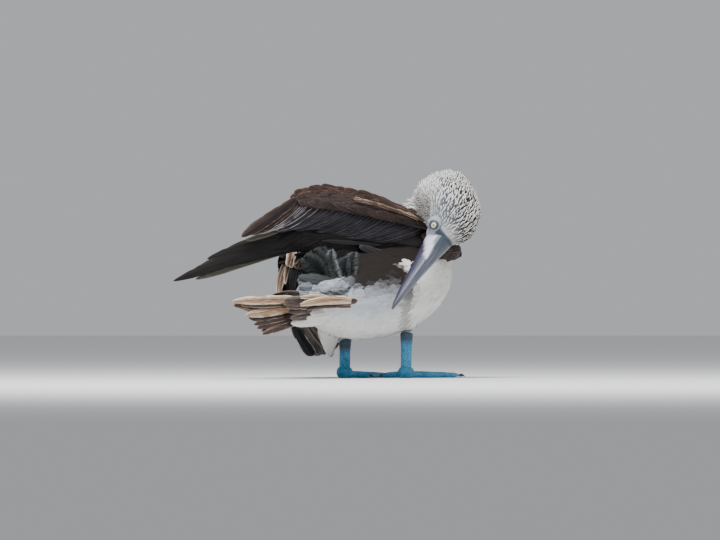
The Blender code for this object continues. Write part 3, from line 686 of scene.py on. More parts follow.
# Right wing
# The near wing is lifted off the back, half folded, and seen from above its outer face. Long primaries run
# to the tip below, secondaries and tertials lie over them, and rows of coverts over those.
WRIST = Vector((7.5, -6.5, 13.5))
OUTWARD = Vector((-0.914, 0.400, -0.074)).normalized()
UPWARD = Vector((0.003, 0.184, 0.983)).normalized()
FACING = Vector((-0.4065, -0.898, 0.1696)).normalized()
ARM_SECTIONS = (
    (-0.2, 0.0, 0.8, 0.3, 0.15),
    (0.2, -0.2, 1.4, 0.3, 0.45),
    (1.0, -0.4, 2.2, 0.4, 0.80),
    (2.5, 0.4, 3.2, 0.6, 0.85),
    (6.0, 1.0, 4.7, 0.5, 0.80),
    (9.5, 1.7, 6.3, 0.4, 0.75),
    (13.5, 3.1, 7.5, 0.3, 0.65),
    (17.5, 5.8, 8.4, 0.2, 0.50),
    (22.0, 7.6, 8.3, 0.2, 0.25),
)
PRIMARY_TIPS = (
    (41.3, 0.45), (38.6, 1.3), (36.1, 2.5), (33.3, 3.3), (31.0, 3.9),
    (29.0, 4.3), (27.4, 4.5), (26.2, 4.6), (25.2, 4.7), (24.4, 4.8),
)
FLIGHT_OUTLINE = (
    (0, 0.30), (0.08, 0.6), (0.3, 0.88), (0.6, 1.0), (0.8, 0.9), (0.92, 0.6), (0.98, 0.28), (1, 0.05),
)
COVERT_OUTLINE = ((0, 0.35), (0.15, 0.8), (0.5, 1.0), (0.78, 0.93), (0.92, 0.66), (0.98, 0.35), (1, 0.08))
VANE_COLUMNS = np.array((-1.0, -0.55, -0.07, 0.0, 0.07, 0.55, 1.0))
VANE_THICK = 0.0004
SHAFT_RISE = 0.0003
ROWS_TO_TIP = 1.35
NOTCH_SHARE = 0.22


def vane(
    root, tip, width, face, bow=0.0, sweep=0.0,
    outline=FLIGHT_OUTLINE, rows=16, camber=0.10, lead=0.0, fray=0.0, tilt=0.0,
):
    """One feather's blade as a thin closed mesh: its points, faces and where each point lies on it."""
    along = (tip - root).normalized()
    side = along.cross(face).normalized()
    face = side.cross(along)
    if tilt:
        turn = Matrix.Rotation(tilt, 3, along)
        side, face = turn @ side, turn @ face
    share = 1 - (1 - np.linspace(0, 1, rows)) ** ROWS_TO_TIP
    hump = 4 * share * (1 - share)
    half = np.interp(share, *zip(*outline)) * width / 2
    columns = np.tile(VANE_COLUMNS, (rows, 1))
    reach = columns * half[:, None] * (1 + lead * np.sign(columns))
    if fray:
        notch = rng.random((rows, 2)) < NOTCH_SHARE
        reach[:, 0] *= 1 - fray * notch[:, 0] * rng.random(rows)
        reach[:, -1] *= 1 - fray * notch[:, 1] * rng.random(rows)
    rise = camber * half[:, None] * (1 - columns**2) + SHAFT_RISE * (columns == 0)
    centre = np.array(root) + np.outer(share, np.array(tip - root))
    centre = centre + np.outer(hump * bow, np.array(face)) + np.outer(hump * sweep, np.array(side))
    top = centre[:, None] + reach[:, :, None] * np.array(side) + rise[:, :, None] * np.array(face)
    thin = VANE_THICK * (1 - 0.6 * np.abs(columns)) * (1 - 0.5 * share[:, None])
    bottom = top - thin[:, :, None] * np.array(face)
    wide = len(VANE_COLUMNS)
    index = np.arange(rows * wide).reshape(rows, wide)
    low = index + rows * wide
    bands = (
        (index[:-1, 1:], index[:-1, :-1], index[1:, :-1], index[1:, 1:]),
        (low[:-1, :-1], low[:-1, 1:], low[1:, 1:], low[1:, :-1]),
        (index[:-1, 0], low[:-1, 0], low[1:, 0], index[1:, 0]),
        (low[:-1, -1], index[:-1, -1], index[1:, -1], low[1:, -1]),
        (index[0, :-1], index[0, 1:], low[0, 1:], low[0, :-1]),
        (index[-1, 1:], index[-1, :-1], low[-1, :-1], low[-1, 1:]),
    )
    return {
        "points": np.concatenate([top.reshape(-1, 3), bottom.reshape(-1, 3)]),
        "faces": np.concatenate([np.stack(band, axis=-1).reshape(-1, 4) for band in bands]),
        "share": np.tile(np.repeat(share, wide), 2),
        "edge": np.tile(columns.ravel(), 2),
        "along": np.tile(np.repeat(share * (tip - root).length / CM, wide), 2),
    }


def feathered(name, vanes, material, slot, **marks):
    """Joins blades into one piece. Each blade has its own cell in the piece's OFBake map."""
    counts = [len(blade["points"]) for blade in vanes]
    starts = np.concatenate([[0], np.cumsum(counts)[:-1]])
    points = np.concatenate([blade["points"] for blade in vanes])
    faces = np.concatenate([blade["faces"] + start for blade, start in zip(vanes, starts)])
    mesh = smooth_mesh(name, points, faces)
    laid = {key: np.concatenate([blade[key] for blade in vanes]) for key in ("share", "edge", "along")}
    laid["spark"] = np.repeat(rng.random(len(vanes)), counts)
    for key, values in marks.items():
        laid[key] = np.repeat(values, counts)
    for key, values in laid.items():
        give(mesh, key, values)
    cells = math.ceil(math.sqrt(len(vanes)))
    place = np.repeat(np.arange(len(vanes)), counts)
    corner = np.stack([place % cells, place // cells], axis=1)
    inside = np.stack([0.5 + 0.42 * laid["edge"], 0.05 + 0.9 * laid["share"]], axis=1)
    give_map(mesh, ((corner + inside) / cells)[faces.ravel()])
    mesh.materials.append(material)
    obj = in_scene(name, mesh)
    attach(obj, "root")
    return obj


vane_paint, start, end = new_group(
    "vane_paint",
    (
        ("Base", "Color", (0.020, 0.016, 0.016, 1)),
        ("Rim", "Color", (0.20, 0.17, 0.15, 1)),
        ("Worn", "Color", (0.09, 0.06, 0.045, 1)),
        ("Rim_Width", "Float", 0.12),
        ("Edge_Highlight", "Float", 0.0),
    ),
    (("Color", "Color"), ("Height", "Float"), ("Roughness", "Float")),
)
wire = Nodes(vane_paint)
share, edge, spark, along = (wire.attribute(name) for name in ("share", "edge", "spark", "along"))
side = wire.math("ABSOLUTE", edge)
cloud = wire.noise(60.0, vector=wire.add("ShaderNodeTexCoord").outputs["Object"])
barbs = wire.math("SINE", wire.math("MULTIPLY_ADD", along, 38.0, wire.times(side, -22.0)))
streak_place = wire.combine(wire.times(edge, 7.0), wire.times(along, 0.7), wire.times(spark, 40.0))
streaks = wire.noise(1.0, 4.0, streak_place)
colour = wire.mix(wire.ramp(streaks, 0.42, 0.75), start.outputs["Base"], start.outputs["Worn"])
worn = wire.times(wire.ramp(share, 0.70, 1.0), wire.ramp(cloud, 0.35, 0.65))
colour = wire.mix(worn, colour, start.outputs["Worn"])
# Painted highlight: streaks of the rim colour over the outer web, standing in for sunlit glossy edges.
edge_highlight = wire.times(wire.ramp(edge, 0.05, 0.75), start.outputs["Edge_Highlight"])
edge_highlight = wire.times(edge_highlight, wire.ramp(streaks, 0.30, 0.60))
colour = wire.mix(edge_highlight, colour, start.outputs["Rim"])
inner = wire.math("SUBTRACT", 1.0, start.outputs["Rim_Width"])
outermost = wire.math("MAXIMUM", side, wire.ramp(share, 0.86, 1.02))
rim = wire.ramp(wire.math("SUBTRACT", outermost, inner), -0.04, 0.06)
broken = wire.math("ADD", cloud, wire.times(spark, 0.25))
rim = wire.times(rim, wire.ramp(broken, 0.40, 0.70))
colour = wire.mix(rim, colour, start.outputs["Rim"])
shaft = wire.math("SUBTRACT", 1.0, wire.ramp(side, 0.02, 0.09))
colour = wire.mix(wire.times(shaft, 0.7), colour, (0.012, 0.009, 0.008, 1))
value = wire.math("MULTIPLY_ADD", spark, 0.5, wire.math("MULTIPLY_ADD", barbs, 0.07, 0.78))
varied = wire.add("ShaderNodeHueSaturation", {"Color": colour, "Value": value})
wire.put(end.inputs["Color"], varied.outputs[0])
wire.put(end.inputs["Height"], wire.math("ADD", wire.times(barbs, 0.5), wire.times(shaft, 2.0)))
wire.put(end.inputs["Roughness"], wire.math("MULTIPLY_ADD", streaks, 0.3, 0.32))


def vane_material(name, base, rim, worn, rim_width, edge_highlight=0.0):
    """A feather blade's finish: dark web, paler worn rim, streaks of painted highlight on the outer web,
    raised shaft and fine barbs.
    """
    made, wire, shader = new_material(name, 0.5, Sheen_Weight=0.04, Specular_IOR_Level=0.28)
    colours = {"Base": (*base, 1), "Rim": (*rim, 1), "Worn": (*worn, 1)}
    inputs = {**colours, "Rim_Width": rim_width, "Edge_Highlight": edge_highlight}
    paint = wire.add("ShaderNodeGroup", node_tree=vane_paint)
    for socket, value in inputs.items():
        paint.inputs[socket].default_value = value
    wire.put(shader.inputs["Base Color"], paint.outputs["Color"])
    wire.put(shader.inputs["Roughness"], paint.outputs["Roughness"])
    wire.bump(shader, 0.35, 0.0003, paint.outputs["Height"])
    return made


# Near-black: the feathers' own dark brown, darkened further as painted shade where the primaries and the
# far wing lie in shadow.
flight = vane_material(
    "flight_feathers", (0.0045, 0.0038, 0.0042), (0.045, 0.036, 0.033), (0.012, 0.008, 0.007), 0.05
)
olive = vane_material(
    "leading_primary", (0.085, 0.076, 0.058), (0.22, 0.20, 0.155), (0.13, 0.115, 0.085), 0.12
)
# The tertials' strong edge streaks and grey-lilac rim are a painted highlight of their sunlit glossy edges.
tertial = vane_material(
    "tertials", (0.014, 0.010, 0.011), (0.42, 0.40, 0.43), (0.045, 0.030, 0.028), 0.12, 0.80
)
secondary = vane_material(
    "secondaries", (0.0080, 0.0080, 0.0120), (0.110, 0.100, 0.120), (0.028, 0.023, 0.027), 0.07, 0.12
)
covert = vane_material(
    "wing_coverts", (0.016, 0.010, 0.009), (0.085, 0.052, 0.042), (0.042, 0.026, 0.022), 0.08, 0.1
)
ridge = vane_material(
    "shoulder_feathers", (0.020, 0.010, 0.008), (0.15, 0.080, 0.056), (0.060, 0.029, 0.021), 0.11, 0.1
)
russet = vane_material(
    "tertials_outer", (0.008, 0.004, 0.004), (0.26, 0.16, 0.12), (0.020, 0.011, 0.009), 0.09, 0.10
)
smoke = vane_material(
    "under_coverts", (0.016, 0.016, 0.018), (0.050, 0.050, 0.052), (0.032, 0.032, 0.034), 0.20
)
# Near-black base: painted shadow of the head over the wrist; the orange-brown rims are the feathers' own
# spots.
shaded_wrist = vane_material(
    "shaded_wrist_feathers", (0.010, 0.006, 0.005), (0.130, 0.060, 0.030), (0.034, 0.017, 0.011), 0.10
)
# The cream edge coverts are a painted highlight of the wing's sunlit leading ridge.
lit = vane_material(
    "lit_edge_coverts", (0.11, 0.065, 0.045), (0.56, 0.42, 0.32), (0.30, 0.19, 0.13), 0.24, 0.4
)


def on_wing(along, up, out):
    """A place on the right wing, in metres in the frame."""
    return placed(WRIST + OUTWARD * along + UPWARD * up + FACING * out)


def wing_vane(root, tip, width, bow=0.3, sweep=0.0, **form):
    return vane(on_wing(*root), on_wing(*tip), width * CM, FACING, bow * CM, sweep * CM, **form)


def wing_tile(root, tip, width, bow, rows=8, fray=0.2, **form):
    """A small, blunt covert on the right wing."""
    return wing_vane(root, tip, width, bow, outline=COVERT_OUTLINE, rows=rows, fray=fray, **form)


def shares(count):
    return [i / (count - 1) for i in range(count)]


def wobble(amount):
    return rng.uniform(-amount, amount)


primaries = []
for i, (along, up) in enumerate(PRIMARY_TIPS):
    share = i / (len(PRIMARY_TIPS) - 1)
    root = (11.0 - 7.5 * share, 2.9 - 0.9 * share, 0.1)
    tip = (along, up, -0.45 + 0.1 * i)
    wide = 1.5 if i == 0 else 2.0
    primaries.append(
        wing_vane(root, tip, wide, 0.6, 1.3 - 0.8 * share, rows=26, lead=-0.25, fray=0.12, tilt=0.10)
    )
right_primaries = feathered("right_primaries", primaries, flight, "right_wing_feathers")
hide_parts("wing_right")
leading = [wing_vane((17.5, 3.45, -0.7), (38.0, 0.40, -0.6), 1.1, 0.1, 0.40, rows=20, lead=-0.2)]
leading.append(wing_vane((26.0, 4.6, 0.9), (31.0, 3.95, 0.7), 0.5, 0.1, rows=12, fray=0.2))
feathered("right_leading_edge", leading, olive, "right_wing_feathers")

# The fan of secondaries hangs from the arm: its roots and tips run from the body's side to the wrist.
FAN_SHARES = (0.0, 0.07, 0.2, 0.42, 0.58, 0.85, 1.0)
FAN_ROOTS = ((23.3, 8.0), (22.8, 7.9), (21.0, 7.8), (14.8, 6.7), (11.8, 6.0), (5.3, 4.5), (3.7, 3.8))
FAN_TIPS = ((31.9, 4.5), (30.8, 4.4), (28.3, 4.7), (22.9, 4.6), (18.5, 3.7), (14.7, 2.9), (12.1, 2.6))


def fan_place(share, line):
    """The place along and up the wing at this share of the fan."""
    return tuple(float(np.interp(share, FAN_SHARES, column)) for column in zip(*line))


fan = []
for share in shares(36):
    root, tip = fan_place(share, FAN_ROOTS), fan_place(share, FAN_TIPS)
    out = 1.5 - 0.5 * share
    tip = (tip[0] + wobble(0.35), tip[1] + wobble(0.14), out - 0.1)
    fan.append(wing_vane((*root, out), tip, 1.35, 0.25, -0.15, rows=20, fray=0.2, tilt=0.30, lead=0.1))
feathered("right_tertials", fan[:4], russet, "right_wing_feathers")
feathered("right_inner_secondaries", fan[4:10], tertial, "right_wing_feathers")
feathered("right_secondaries", fan[10:], secondary, "right_wing_feathers")

under = []
for share in shares(14):
    root = (4.0 + 15.0 * share, 2.6 + 3.6 * share, 0.35)
    tip = (13.0 + 14.0 * share + wobble(0.4), 1.9 + 1.3 * share + wobble(0.2), 0.3)
    under.append(wing_vane(root, tip, 2.2, 0.2, rows=18, fray=0.15, tilt=0.15))
feathered("right_under_feathers", under, flight, "right_wing_feathers")

# Coverts and shoulder feathers tile the arm in rows, from the fan's roots up to the ruffled ridge.
RIDGE_LINE = (
    (1.0, 4.4, 7.0, 8.6, 10.3, 15.0, 18.6, 21.8, 23.6),
    (2.9, 4.2, 5.5, 6.3, 7.1, 8.2, 9.1, 8.9, 8.2),
)
BAND_LINE = ((1.0, 3.2, 5.4, 11.4, 14.5, 18.7, 23.9), (2.1, 3.0, 3.8, 5.2, 6.0, 7.0, 7.5))
COVERT_ROWS = 8
LOWER_ROWS = 5
COVERT_REACH = 3.6
tiles = {"coverts": [], "shoulder": []}
for row in range(COVERT_ROWS):
    height = row / (COVERT_ROWS - 1)
    for share in shares(34):
        along = 2.6 + 20.8 * share + wobble(0.25)
        low, high = np.interp(along, *BAND_LINE), np.interp(along, *RIDGE_LINE)
        up = low + (high - low) * height
        back = along - COVERT_REACH
        low, high = np.interp(back, *BAND_LINE), np.interp(back, *RIDGE_LINE)
        root = (back, low + (high - low) * height - 0.25, 1.5 - 0.9 * height)
        loose = 0.30 if row == COVERT_ROWS - 1 else 0.12
        tip = (along, up + wobble(loose), 1.95 - 1.1 * height + wobble(0.1))
        tile = wing_tile(root, tip, 0.95, 0.16, 9, camber=0.05, tilt=0.15 + wobble(0.2))
        tiles["coverts" if row < LOWER_ROWS else "shoulder"].append(tile)
feathered("right_coverts", tiles["coverts"], covert, "right_wing_feathers")
feathered("right_shoulder_feathers", tiles["shoulder"], ridge, "right_wing_feathers")

# The line of the painted-highlight row of cream coverts along the wing's lit ridge.
LIT_EDGE_LINE = ((3.0, 5.6, 7.6, 12.0, 15.2), (2.6, 3.9, 5.0, 6.4, 7.4))
lit_edge_row = []
for share in shares(30):
    along = 5.2 + 10.4 * share
    root = (along - 2.0, np.interp(along - 2.0, *LIT_EDGE_LINE) - 0.1, 1.9)
    tip = (along, np.interp(along, *LIT_EDGE_LINE) + wobble(0.12), 2.1 + wobble(0.1))
    lit_edge_row.append(wing_tile(root, tip, 0.30, 0.1, 7, 0.3, tilt=-0.3 + wobble(0.3)))
feathered("right_lit_edge_coverts", lit_edge_row, lit, "right_wing_feathers")

# The wrist's coverts, darkened as painted shadow of the head.
wrist_coverts = []
for row in range(4):
    for share in shares(8):
        round_back = 0.9 * (2 * share - 1) ** 2
        root = (-0.1 + 0.9 * row + round_back, -0.1 + 1.7 * share + 0.25 * row, 0.8 + 0.15 * row)
        tip = (root[0] + 2.8, root[1] + 0.1 + wobble(0.2), 1.2 + 0.2 * row)
        wrist_coverts.append(wing_tile(root, tip, 0.8, 0.2, camber=0.05, tilt=wobble(0.3)))
feathered("right_wrist_coverts", wrist_coverts, shaded_wrist, "right_wing_feathers")

tongues = [
    wing_vane((11.8, 2.0, 1.0), (20.2, 3.15, 0.9), 0.50, 0.1, rows=14),
    wing_vane((15.0, 2.1, 1.1), (10.0, -0.1, 1.2), 1.2, 0.1, rows=14),
]
feathered("right_under_coverts", tongues, smoke, "right_wing_feathers")


def section_loft(name, rings, material):
    """A closed form through rings of equal count, smoothed by one subdivision."""
    form = closed_form(name, rings)
    applied(form, "SUBSURF", levels=1, render_levels=1)
    bpy.ops.object.shade_smooth()
    form.data.materials.append(material)
    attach(form, "root")


def ring_about(centre, right, up, half_width, half_height, sides=14):
    turns = [2 * math.pi * i / sides for i in range(sides)]
    return [centre + right * half_width * math.cos(t) + up * half_height * math.sin(t) for t in turns]


arm_rings = []
for along, low, high, out, thick in ARM_SECTIONS:
    middle = on_wing(along, (low + high) / 2, out)
    arm_rings.append(ring_about(middle, UPWARD, FACING, (high - low) / 2 * CM, thick * CM))
section_loft("right_arm", arm_rings, shaded_wrist)


def inner_side(along, height, lift):
    """A place on the arm's inner side, this far off its skin."""
    places, *columns = zip(*ARM_SECTIONS)
    low, high, out, thick = (np.interp(along, places, column) for column in columns)
    depth = thick * math.sqrt(1 - (2 * height - 1) ** 2)
    return on_wing(along, low + (high - low) * height, out - depth - lift)


INNER_ROWS = 7
inner_coverts = []
for row in range(INNER_ROWS):
    height = (row + 0.5) / INNER_ROWS
    for share in shares(18):
        along = 2.8 + 19.8 * share + wobble(0.3)
        root, tip = inner_side(along - 3.2, height, 0.05), inner_side(along, height, 0.3)
        form = {"outline": COVERT_OUTLINE, "rows": 8, "fray": 0.2, "tilt": wobble(0.2)}
        inner_coverts.append(vane(root, tip, 1.4 * CM, -FACING, 0.1 * CM, **form))
feathered("right_inner_coverts", inner_coverts, smoke, "right_wing_feathers")

# Left wing
# The far wing hangs open behind the body, its arm folded in a V and its feathers falling like a curtain.
# From the camera it is seen on its shaded inner side, with only its hind edge and lowest tips in the light.
SHOULDER = Vector((8.4, 4.4, 15.2))
ELBOW = Vector((-6.0, 8.0, 13.9))
FAR_WRIST = Vector((12.5, 10.6, 11.0))
ELBOW_ACROSS = Vector((0, 0.9, -0.4))
ELBOW_END = 0.05
FAR_ARM_SECTIONS = (
    (-0.05, 0.4), (0.02, 0.8), (0.3, 1.0), (0.65, 0.95), (0.9, 0.7), (1.0, 0.3), (1.03, 0.1),
)
CURTAIN = 22


def forearm_point(share):
    return ELBOW.lerp(FAR_WRIST, share) + Vector((0, 0.7, 0.5)) * math.sin(math.pi * share)


def arm_section(share):
    """The folded arm's middle, the way across it and its half width, from the upper arm to the forearm."""
    upper, lower = ELBOW.lerp(SHOULDER, share), forearm_point(share)
    across = lower - upper if share > ELBOW_END else ELBOW_ACROSS
    return (upper + lower) / 2, across.normalized(), (lower - upper).length / 2 + 0.8


def arm_ring(share, half_thick):
    """A section of the folded arm, in metres."""
    middle, across, half = arm_section(share)
    face = across.cross(Vector((1, 0, 0))).normalized()
    return ring_about(placed(middle), across, face, half * CM, half_thick * CM)


def curtain_line(share):
    """Root, tip and bow, in centimetres, of the flight feather that hangs at this share of the forearm."""
    root = forearm_point(0.04 + 0.92 * share) + Vector((0, 0.1, -0.1))
    low = 4.5 - 2.2 * math.sin(math.pi * min(share * 1.1, 1)) + 0.6 * share
    tip = Vector((-4.9 + 15.0 * share, 7.8 + 0.5 * share, low))
    return root, tip, min(0.3 + 5.0 * share, 1.3 + 0.9 * share)


def body_vane(root, tip, width, face, bow=0.3, sweep=0.0, **form):
    """A blade between two places given in the bird's centimetres."""
    return vane(placed(root), placed(tip), width * CM, Vector(face), bow * CM, sweep * CM, **form)


def body_tile(root, tip, width, face, bow, rows=8, fray=0.2, **form):
    """A small, blunt covert between two places given in the bird's centimetres."""
    return body_vane(root, tip, width, face, bow, outline=COVERT_OUTLINE, rows=rows, fray=fray, **form)


HIND_OUTLINE = ((0, 0.5), (0.3, 0.7), (0.6, 0.9), (0.85, 1.0), (0.95, 0.85), (0.99, 0.5), (1, 0.2))
HIND_STRIPS = (
    ((-4.2, 8.0, 14.2), (-8.6, 8.0, 9.0), 0.45, 0.60),
    ((-3.9, 7.9, 14.1), (-8.0, 7.9, 8.6), 0.50, 0.55),
    ((-3.6, 7.8, 14.3), (-7.0, 7.8, 10.4), 0.60, 0.40),
)
HIND_BLADES = (
    ((-6.3, 8.2, 9.2), (1.2, 8.2, 2.45), 1.35, 0.45),
    ((-6.2, 8.1, 9.6), (2.8, 8.1, 2.5), 1.50, 0.40),
    ((-4.6, 8.0, 9.2), (5.0, 8.0, 2.75), 2.00, 0.35),
    ((-2.6, 7.9, 9.0), (6.4, 7.9, 3.2), 1.90, 0.30),
)
FACE_OUT = (-0.9, -0.43, 0.0)
hind = vane_material(
    "far_hind_feathers", (0.12, 0.060, 0.042), (0.66, 0.54, 0.42), (0.32, 0.21, 0.15), 0.35, 0.5
)
# The near-black outer blade's white rim is a painted highlight of its lit edge.
inky = vane_material(
    "far_outer_blades", (0.006, 0.005, 0.008), (0.75, 0.72, 0.70), (0.010, 0.008, 0.010), 0.18
)
# The inner blades' lighter grey-brown is painted sheen on dark feathers.
umber_sheen = vane_material(
    "far_inner_blades", (0.230, 0.180, 0.150), (0.300, 0.250, 0.220), (0.012, 0.009, 0.008), 0.10
)
curtain = []
for share in shares(CURTAIN):
    root, tip, bow = curtain_line(share)
    tip = tip + Vector((wobble(0.2), wobble(0.1), 1.6 + wobble(0.25)))
    curtain.append(body_vane(root, tip, 1.9, (0, 1, 0), bow, rows=20, fray=0.15, tilt=-0.15))
left_secondaries = feathered("left_secondaries", curtain, flight, "left_wing_feathers")
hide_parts("wing_left")
strips = [body_vane(*row[:3], FACE_OUT, 0.1, row[3], rows=14, fray=0.3) for row in HIND_STRIPS]
feathered("left_hind_strips", strips, hind, "left_wing_feathers")
blades = []
for root, tip, width, sweep in HIND_BLADES:
    form = {"outline": HIND_OUTLINE, "rows": 20, "fray": 0.1}
    blades.append(body_vane(root, tip, width, FACE_OUT, 0.15, sweep, **form))
feathered("left_outer_blades", blades[:1], inky, "left_wing_feathers")
feathered("left_inner_blades", blades[1:], umber_sheen, "left_wing_feathers")
elbow_tufts = []
for i in range(9):
    root = (-7.0 + 0.35 * i + wobble(0.3), 7.3, 14.6 - 0.05 * i)
    tip = (root[0] - 0.6 + wobble(0.8), 7.2, 12.5 + wobble(0.5))
    elbow_tufts.append(body_tile(root, tip, 0.8, FACE_OUT, 0.2, fray=0.3, tilt=wobble(0.5)))
feathered("left_elbow_feathers", elbow_tufts, hind, "left_wing_feathers")
far_coverts = []
for row, (reach, lift, width) in enumerate(((0.46, 0.22, 1.8), (0.34, 0.34, 1.6), (0.22, 0.44, 1.4))):
    for place in shares(20):
        share = min(max(place + 0.025 * (row % 2) + wobble(0.015), 0), 1)
        root, tip, bow = curtain_line(share)
        out = Vector((0, lift, 0))
        far = reach + wobble(0.04)
        hang = Vector((0, 1, 0)) * bow * 4 * far * (1 - far)
        spot = root.lerp(tip, far) + hang + out * 1.5
        root = root + out + Vector((0, 0, 0.5))
        far_coverts.append(body_tile(root, spot, width, (0, 1, 0.3), 0.35, 9, tilt=wobble(0.25)))
# The far wing's coverts take the near-black flight finish in place of covert brown: painted shade of the
# hollow by the body.
feathered("left_coverts", far_coverts, flight, "left_wing_feathers")
far_scapulars = []
for row, lift in enumerate((0.0, 0.25)):
    for share in shares(12):
        root = ELBOW.lerp(SHOULDER, 0.12 + 0.85 * share) + Vector((-0.6 * row, 0, 0.5 + lift))
        tip = root + Vector((-6.4 + wobble(0.5), 1.5, -0.6 + 0.9 * share + wobble(0.2)))
        far_scapulars.append(body_tile(root, tip, 2.0, (0, 0.35, 0.94), 0.35, 9, tilt=wobble(0.2)))
feathered("left_scapulars", far_scapulars, ridge, "left_wing_feathers")
section_loft("left_arm", [arm_ring(*row) for row in FAR_ARM_SECTIONS], flight)


def arm_side(share, across, lift, side):
    """A place on the folded arm's upper (1) or under (-1) side, this far off it, and the way it faces."""
    middle, span, half = arm_section(share)
    face = Vector((1, 0, 0)).cross(span).normalized() * side
    thick = float(np.interp(share, *zip(*FAR_ARM_SECTIONS)))
    depth = thick * math.sqrt(1 - across**2) + lift
    return middle + span * half * across + face * depth, face


ARM_ROWS = 8
for name, side, material in (("left_upper_coverts", 1, covert), ("left_under_coverts", -1, smoke)):
    tiles = []
    for row in range(ARM_ROWS):
        across = -0.9 + 1.8 * row / (ARM_ROWS - 1)
        for share in shares(14):
            front = 0.20 + 0.84 * share + wobble(0.02)
            root, face = arm_side(front, across, 0.05, side)
            tip, face = arm_side(max(front - 0.24, -0.03), across, 0.3, side)
            tiles.append(body_tile(root, tip, 2.0, face, 0.15, tilt=wobble(0.2)))
    feathered(name, tiles, material, "left_wing_feathers")

FAR_HAND = ((12.4, 9.9, 10.9, 0.55), (8.0, 9.1, 10.4, 0.65), (3.0, 8.6, 10.0, 0.4))
far_primaries = []
for share in shares(10):
    root = (3.4 + 6.0 * share, 8.7 + 0.3 * share, 10.0 + 0.2 * share)
    tip = (-24.0 + 15.5 * share, 4.2 + 3.0 * share, 6.8 + 1.2 * share)
    far_primaries.append(body_vane(root, tip, 1.9, (0.15, 1, 0), 0.4, rows=20, lead=0.25, fray=0.1))
left_primaries = feathered("left_primaries", far_primaries, flight, "left_primaries")
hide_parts("wing_left_hand")
hand_rings = []
for x, y, z, radius in FAR_HAND:
    reach = radius * CM
    hand_rings.append(ring_about(placed((x, y, z)), Vector((0, 1, 0)), Vector((0, 0, 1)), reach, reach))
section_loft("left_hand", hand_rings, covert)

# Tail
# The tail is half spread and turned on edge, so its right side fans down: pale worn vanes above,
# darker ones with tan rims below, all rooted in one short stump under the rump's coverts.
TAIL_FACE = (-0.3, -1.0, 0.3)
TAIL_STUMP = ((-14.5, 0.0, 8.4, 1.7, 1.2), (-18.5, 0.4, 8.0, 1.8, 1.0), (-22.0, 0.9, 7.6, 1.4, 0.4))
TAIL_TIPS = (
    (-33.0, 2.0, 8.55, 1.15), (-31.4, 1.7, 8.1, 1.0), (-31.0, 1.5, 7.0, 1.3), (-29.9, 1.4, 6.5, 1.1),
    (-29.7, 1.3, 6.0, 1.0), (-29.3, 1.2, 5.6, 1.0), (-28.6, 1.1, 5.3, 0.9), (-28.9, 1.0, 4.95, 0.9),
)
FAR_FACE = (0.1, 1, 0.2)
pale = vane_material(
    "worn_tail_feathers", (0.24, 0.14, 0.085), (0.74, 0.62, 0.46), (0.58, 0.42, 0.27), 0.30, 0.6
)
dusky = vane_material(
    "dark_tail_feathers", (0.022, 0.013, 0.011), (0.40, 0.27, 0.20), (0.085, 0.050, 0.038), 0.14, 0.25
)
taupe = vane_material(
    "tail_coverts", (0.050, 0.034, 0.029), (0.34, 0.26, 0.21), (0.140, 0.098, 0.080), 0.16, 0.5
)
right_tail, left_tail = [], []
for i, (x, y, z, width) in enumerate(TAIL_TIPS):
    root = (-16.6, -0.3 - 0.02 * i, 8.75 - 0.24 * i)
    tip = (x, y - 0.1 * i, z)
    right_tail.append(body_vane(root, tip, width, TAIL_FACE, 0.2, rows=18, fray=0.25, tilt=0.15))
    root = (-16.5, 0.5 + 0.04 * i, 8.7 - 0.15 * i)
    tip = (-32.2 + 1.1 * i, 2.2 + 0.09 * i, 8.1 - 0.13 * i)
    left_tail.append(body_vane(root, tip, 1.5, TAIL_FACE, 0.2, rows=18, fray=0.2))
tail = feathered("pale_tail_feathers", [right_tail[0], right_tail[2]], pale, "tail_feathers")
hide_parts("tail")
feathered("dark_tail_feathers", [right_tail[1], *right_tail[3:]], dusky, "tail_feathers")
feathered("far_tail_feathers", left_tail, dusky, "tail_feathers")
tail_coverts = []
for row, reach in enumerate((9.4, 7.2, 5.2)):
    for share in shares(6):
        root = (-17.2 - 0.4 * row, -0.9 + 0.1 * row, 8.7 - 1.6 * share)
        back = -15.6 - reach + 1.8 * share + wobble(0.6)
        tip = (back, -0.4 - 0.3 * share, 8.6 - 2.0 * share + wobble(0.15))
        tail_coverts.append(body_tile(root, tip, 0.95, TAIL_FACE, 0.25, 10, 0.25, tilt=wobble(0.3)))
feathered("tail_coverts", tail_coverts[:6] + tail_coverts[12:], taupe, "tail_feathers")
feathered("dark_tail_coverts", tail_coverts[6:12], dusky, "tail_feathers")
white_coverts = []
for share in shares(9):
    root = (-14.2 - 0.8 * share, -1.7 + 0.9 * share, 7.4 - 1.1 * share)
    back = -20.4 - 2.9 * share + wobble(0.3)
    tip = (back, -0.9 + 0.3 * share, 6.90 - 0.75 * share + wobble(0.1))
    white_coverts.append(body_tile(root, tip, 1.1, TAIL_FACE, 0.15, 10))
for share in shares(8):
    root = (-13.2, 2.3 - 0.4 * share, 9.5 - 3.0 * share)
    tip = (-19.6 + wobble(0.5), 1.9, 8.6 - 2.1 * share + wobble(0.15))
    white_coverts.append(body_tile(root, tip, 1.4, FAR_FACE, 0.2, 10, 0.3))
feathered("under_tail_coverts", white_coverts, plumage, "body_feathers")
far_tail_coverts = []
for reach in (8.4, 6.4, 4.4):
    for share in shares(6):
        root = (-14.6, 1.35, 9.3 - 2.2 * share)
        tip = (-14.6 - reach + wobble(0.6), 1.8, 8.9 - 2.2 * share + wobble(0.15))
        far_tail_coverts.append(body_tile(root, tip, 1.1, FAR_FACE, 0.2, 10, 0.25, tilt=wobble(0.2)))
feathered("far_tail_coverts", far_tail_coverts, taupe, "tail_feathers")
stump_rings = []
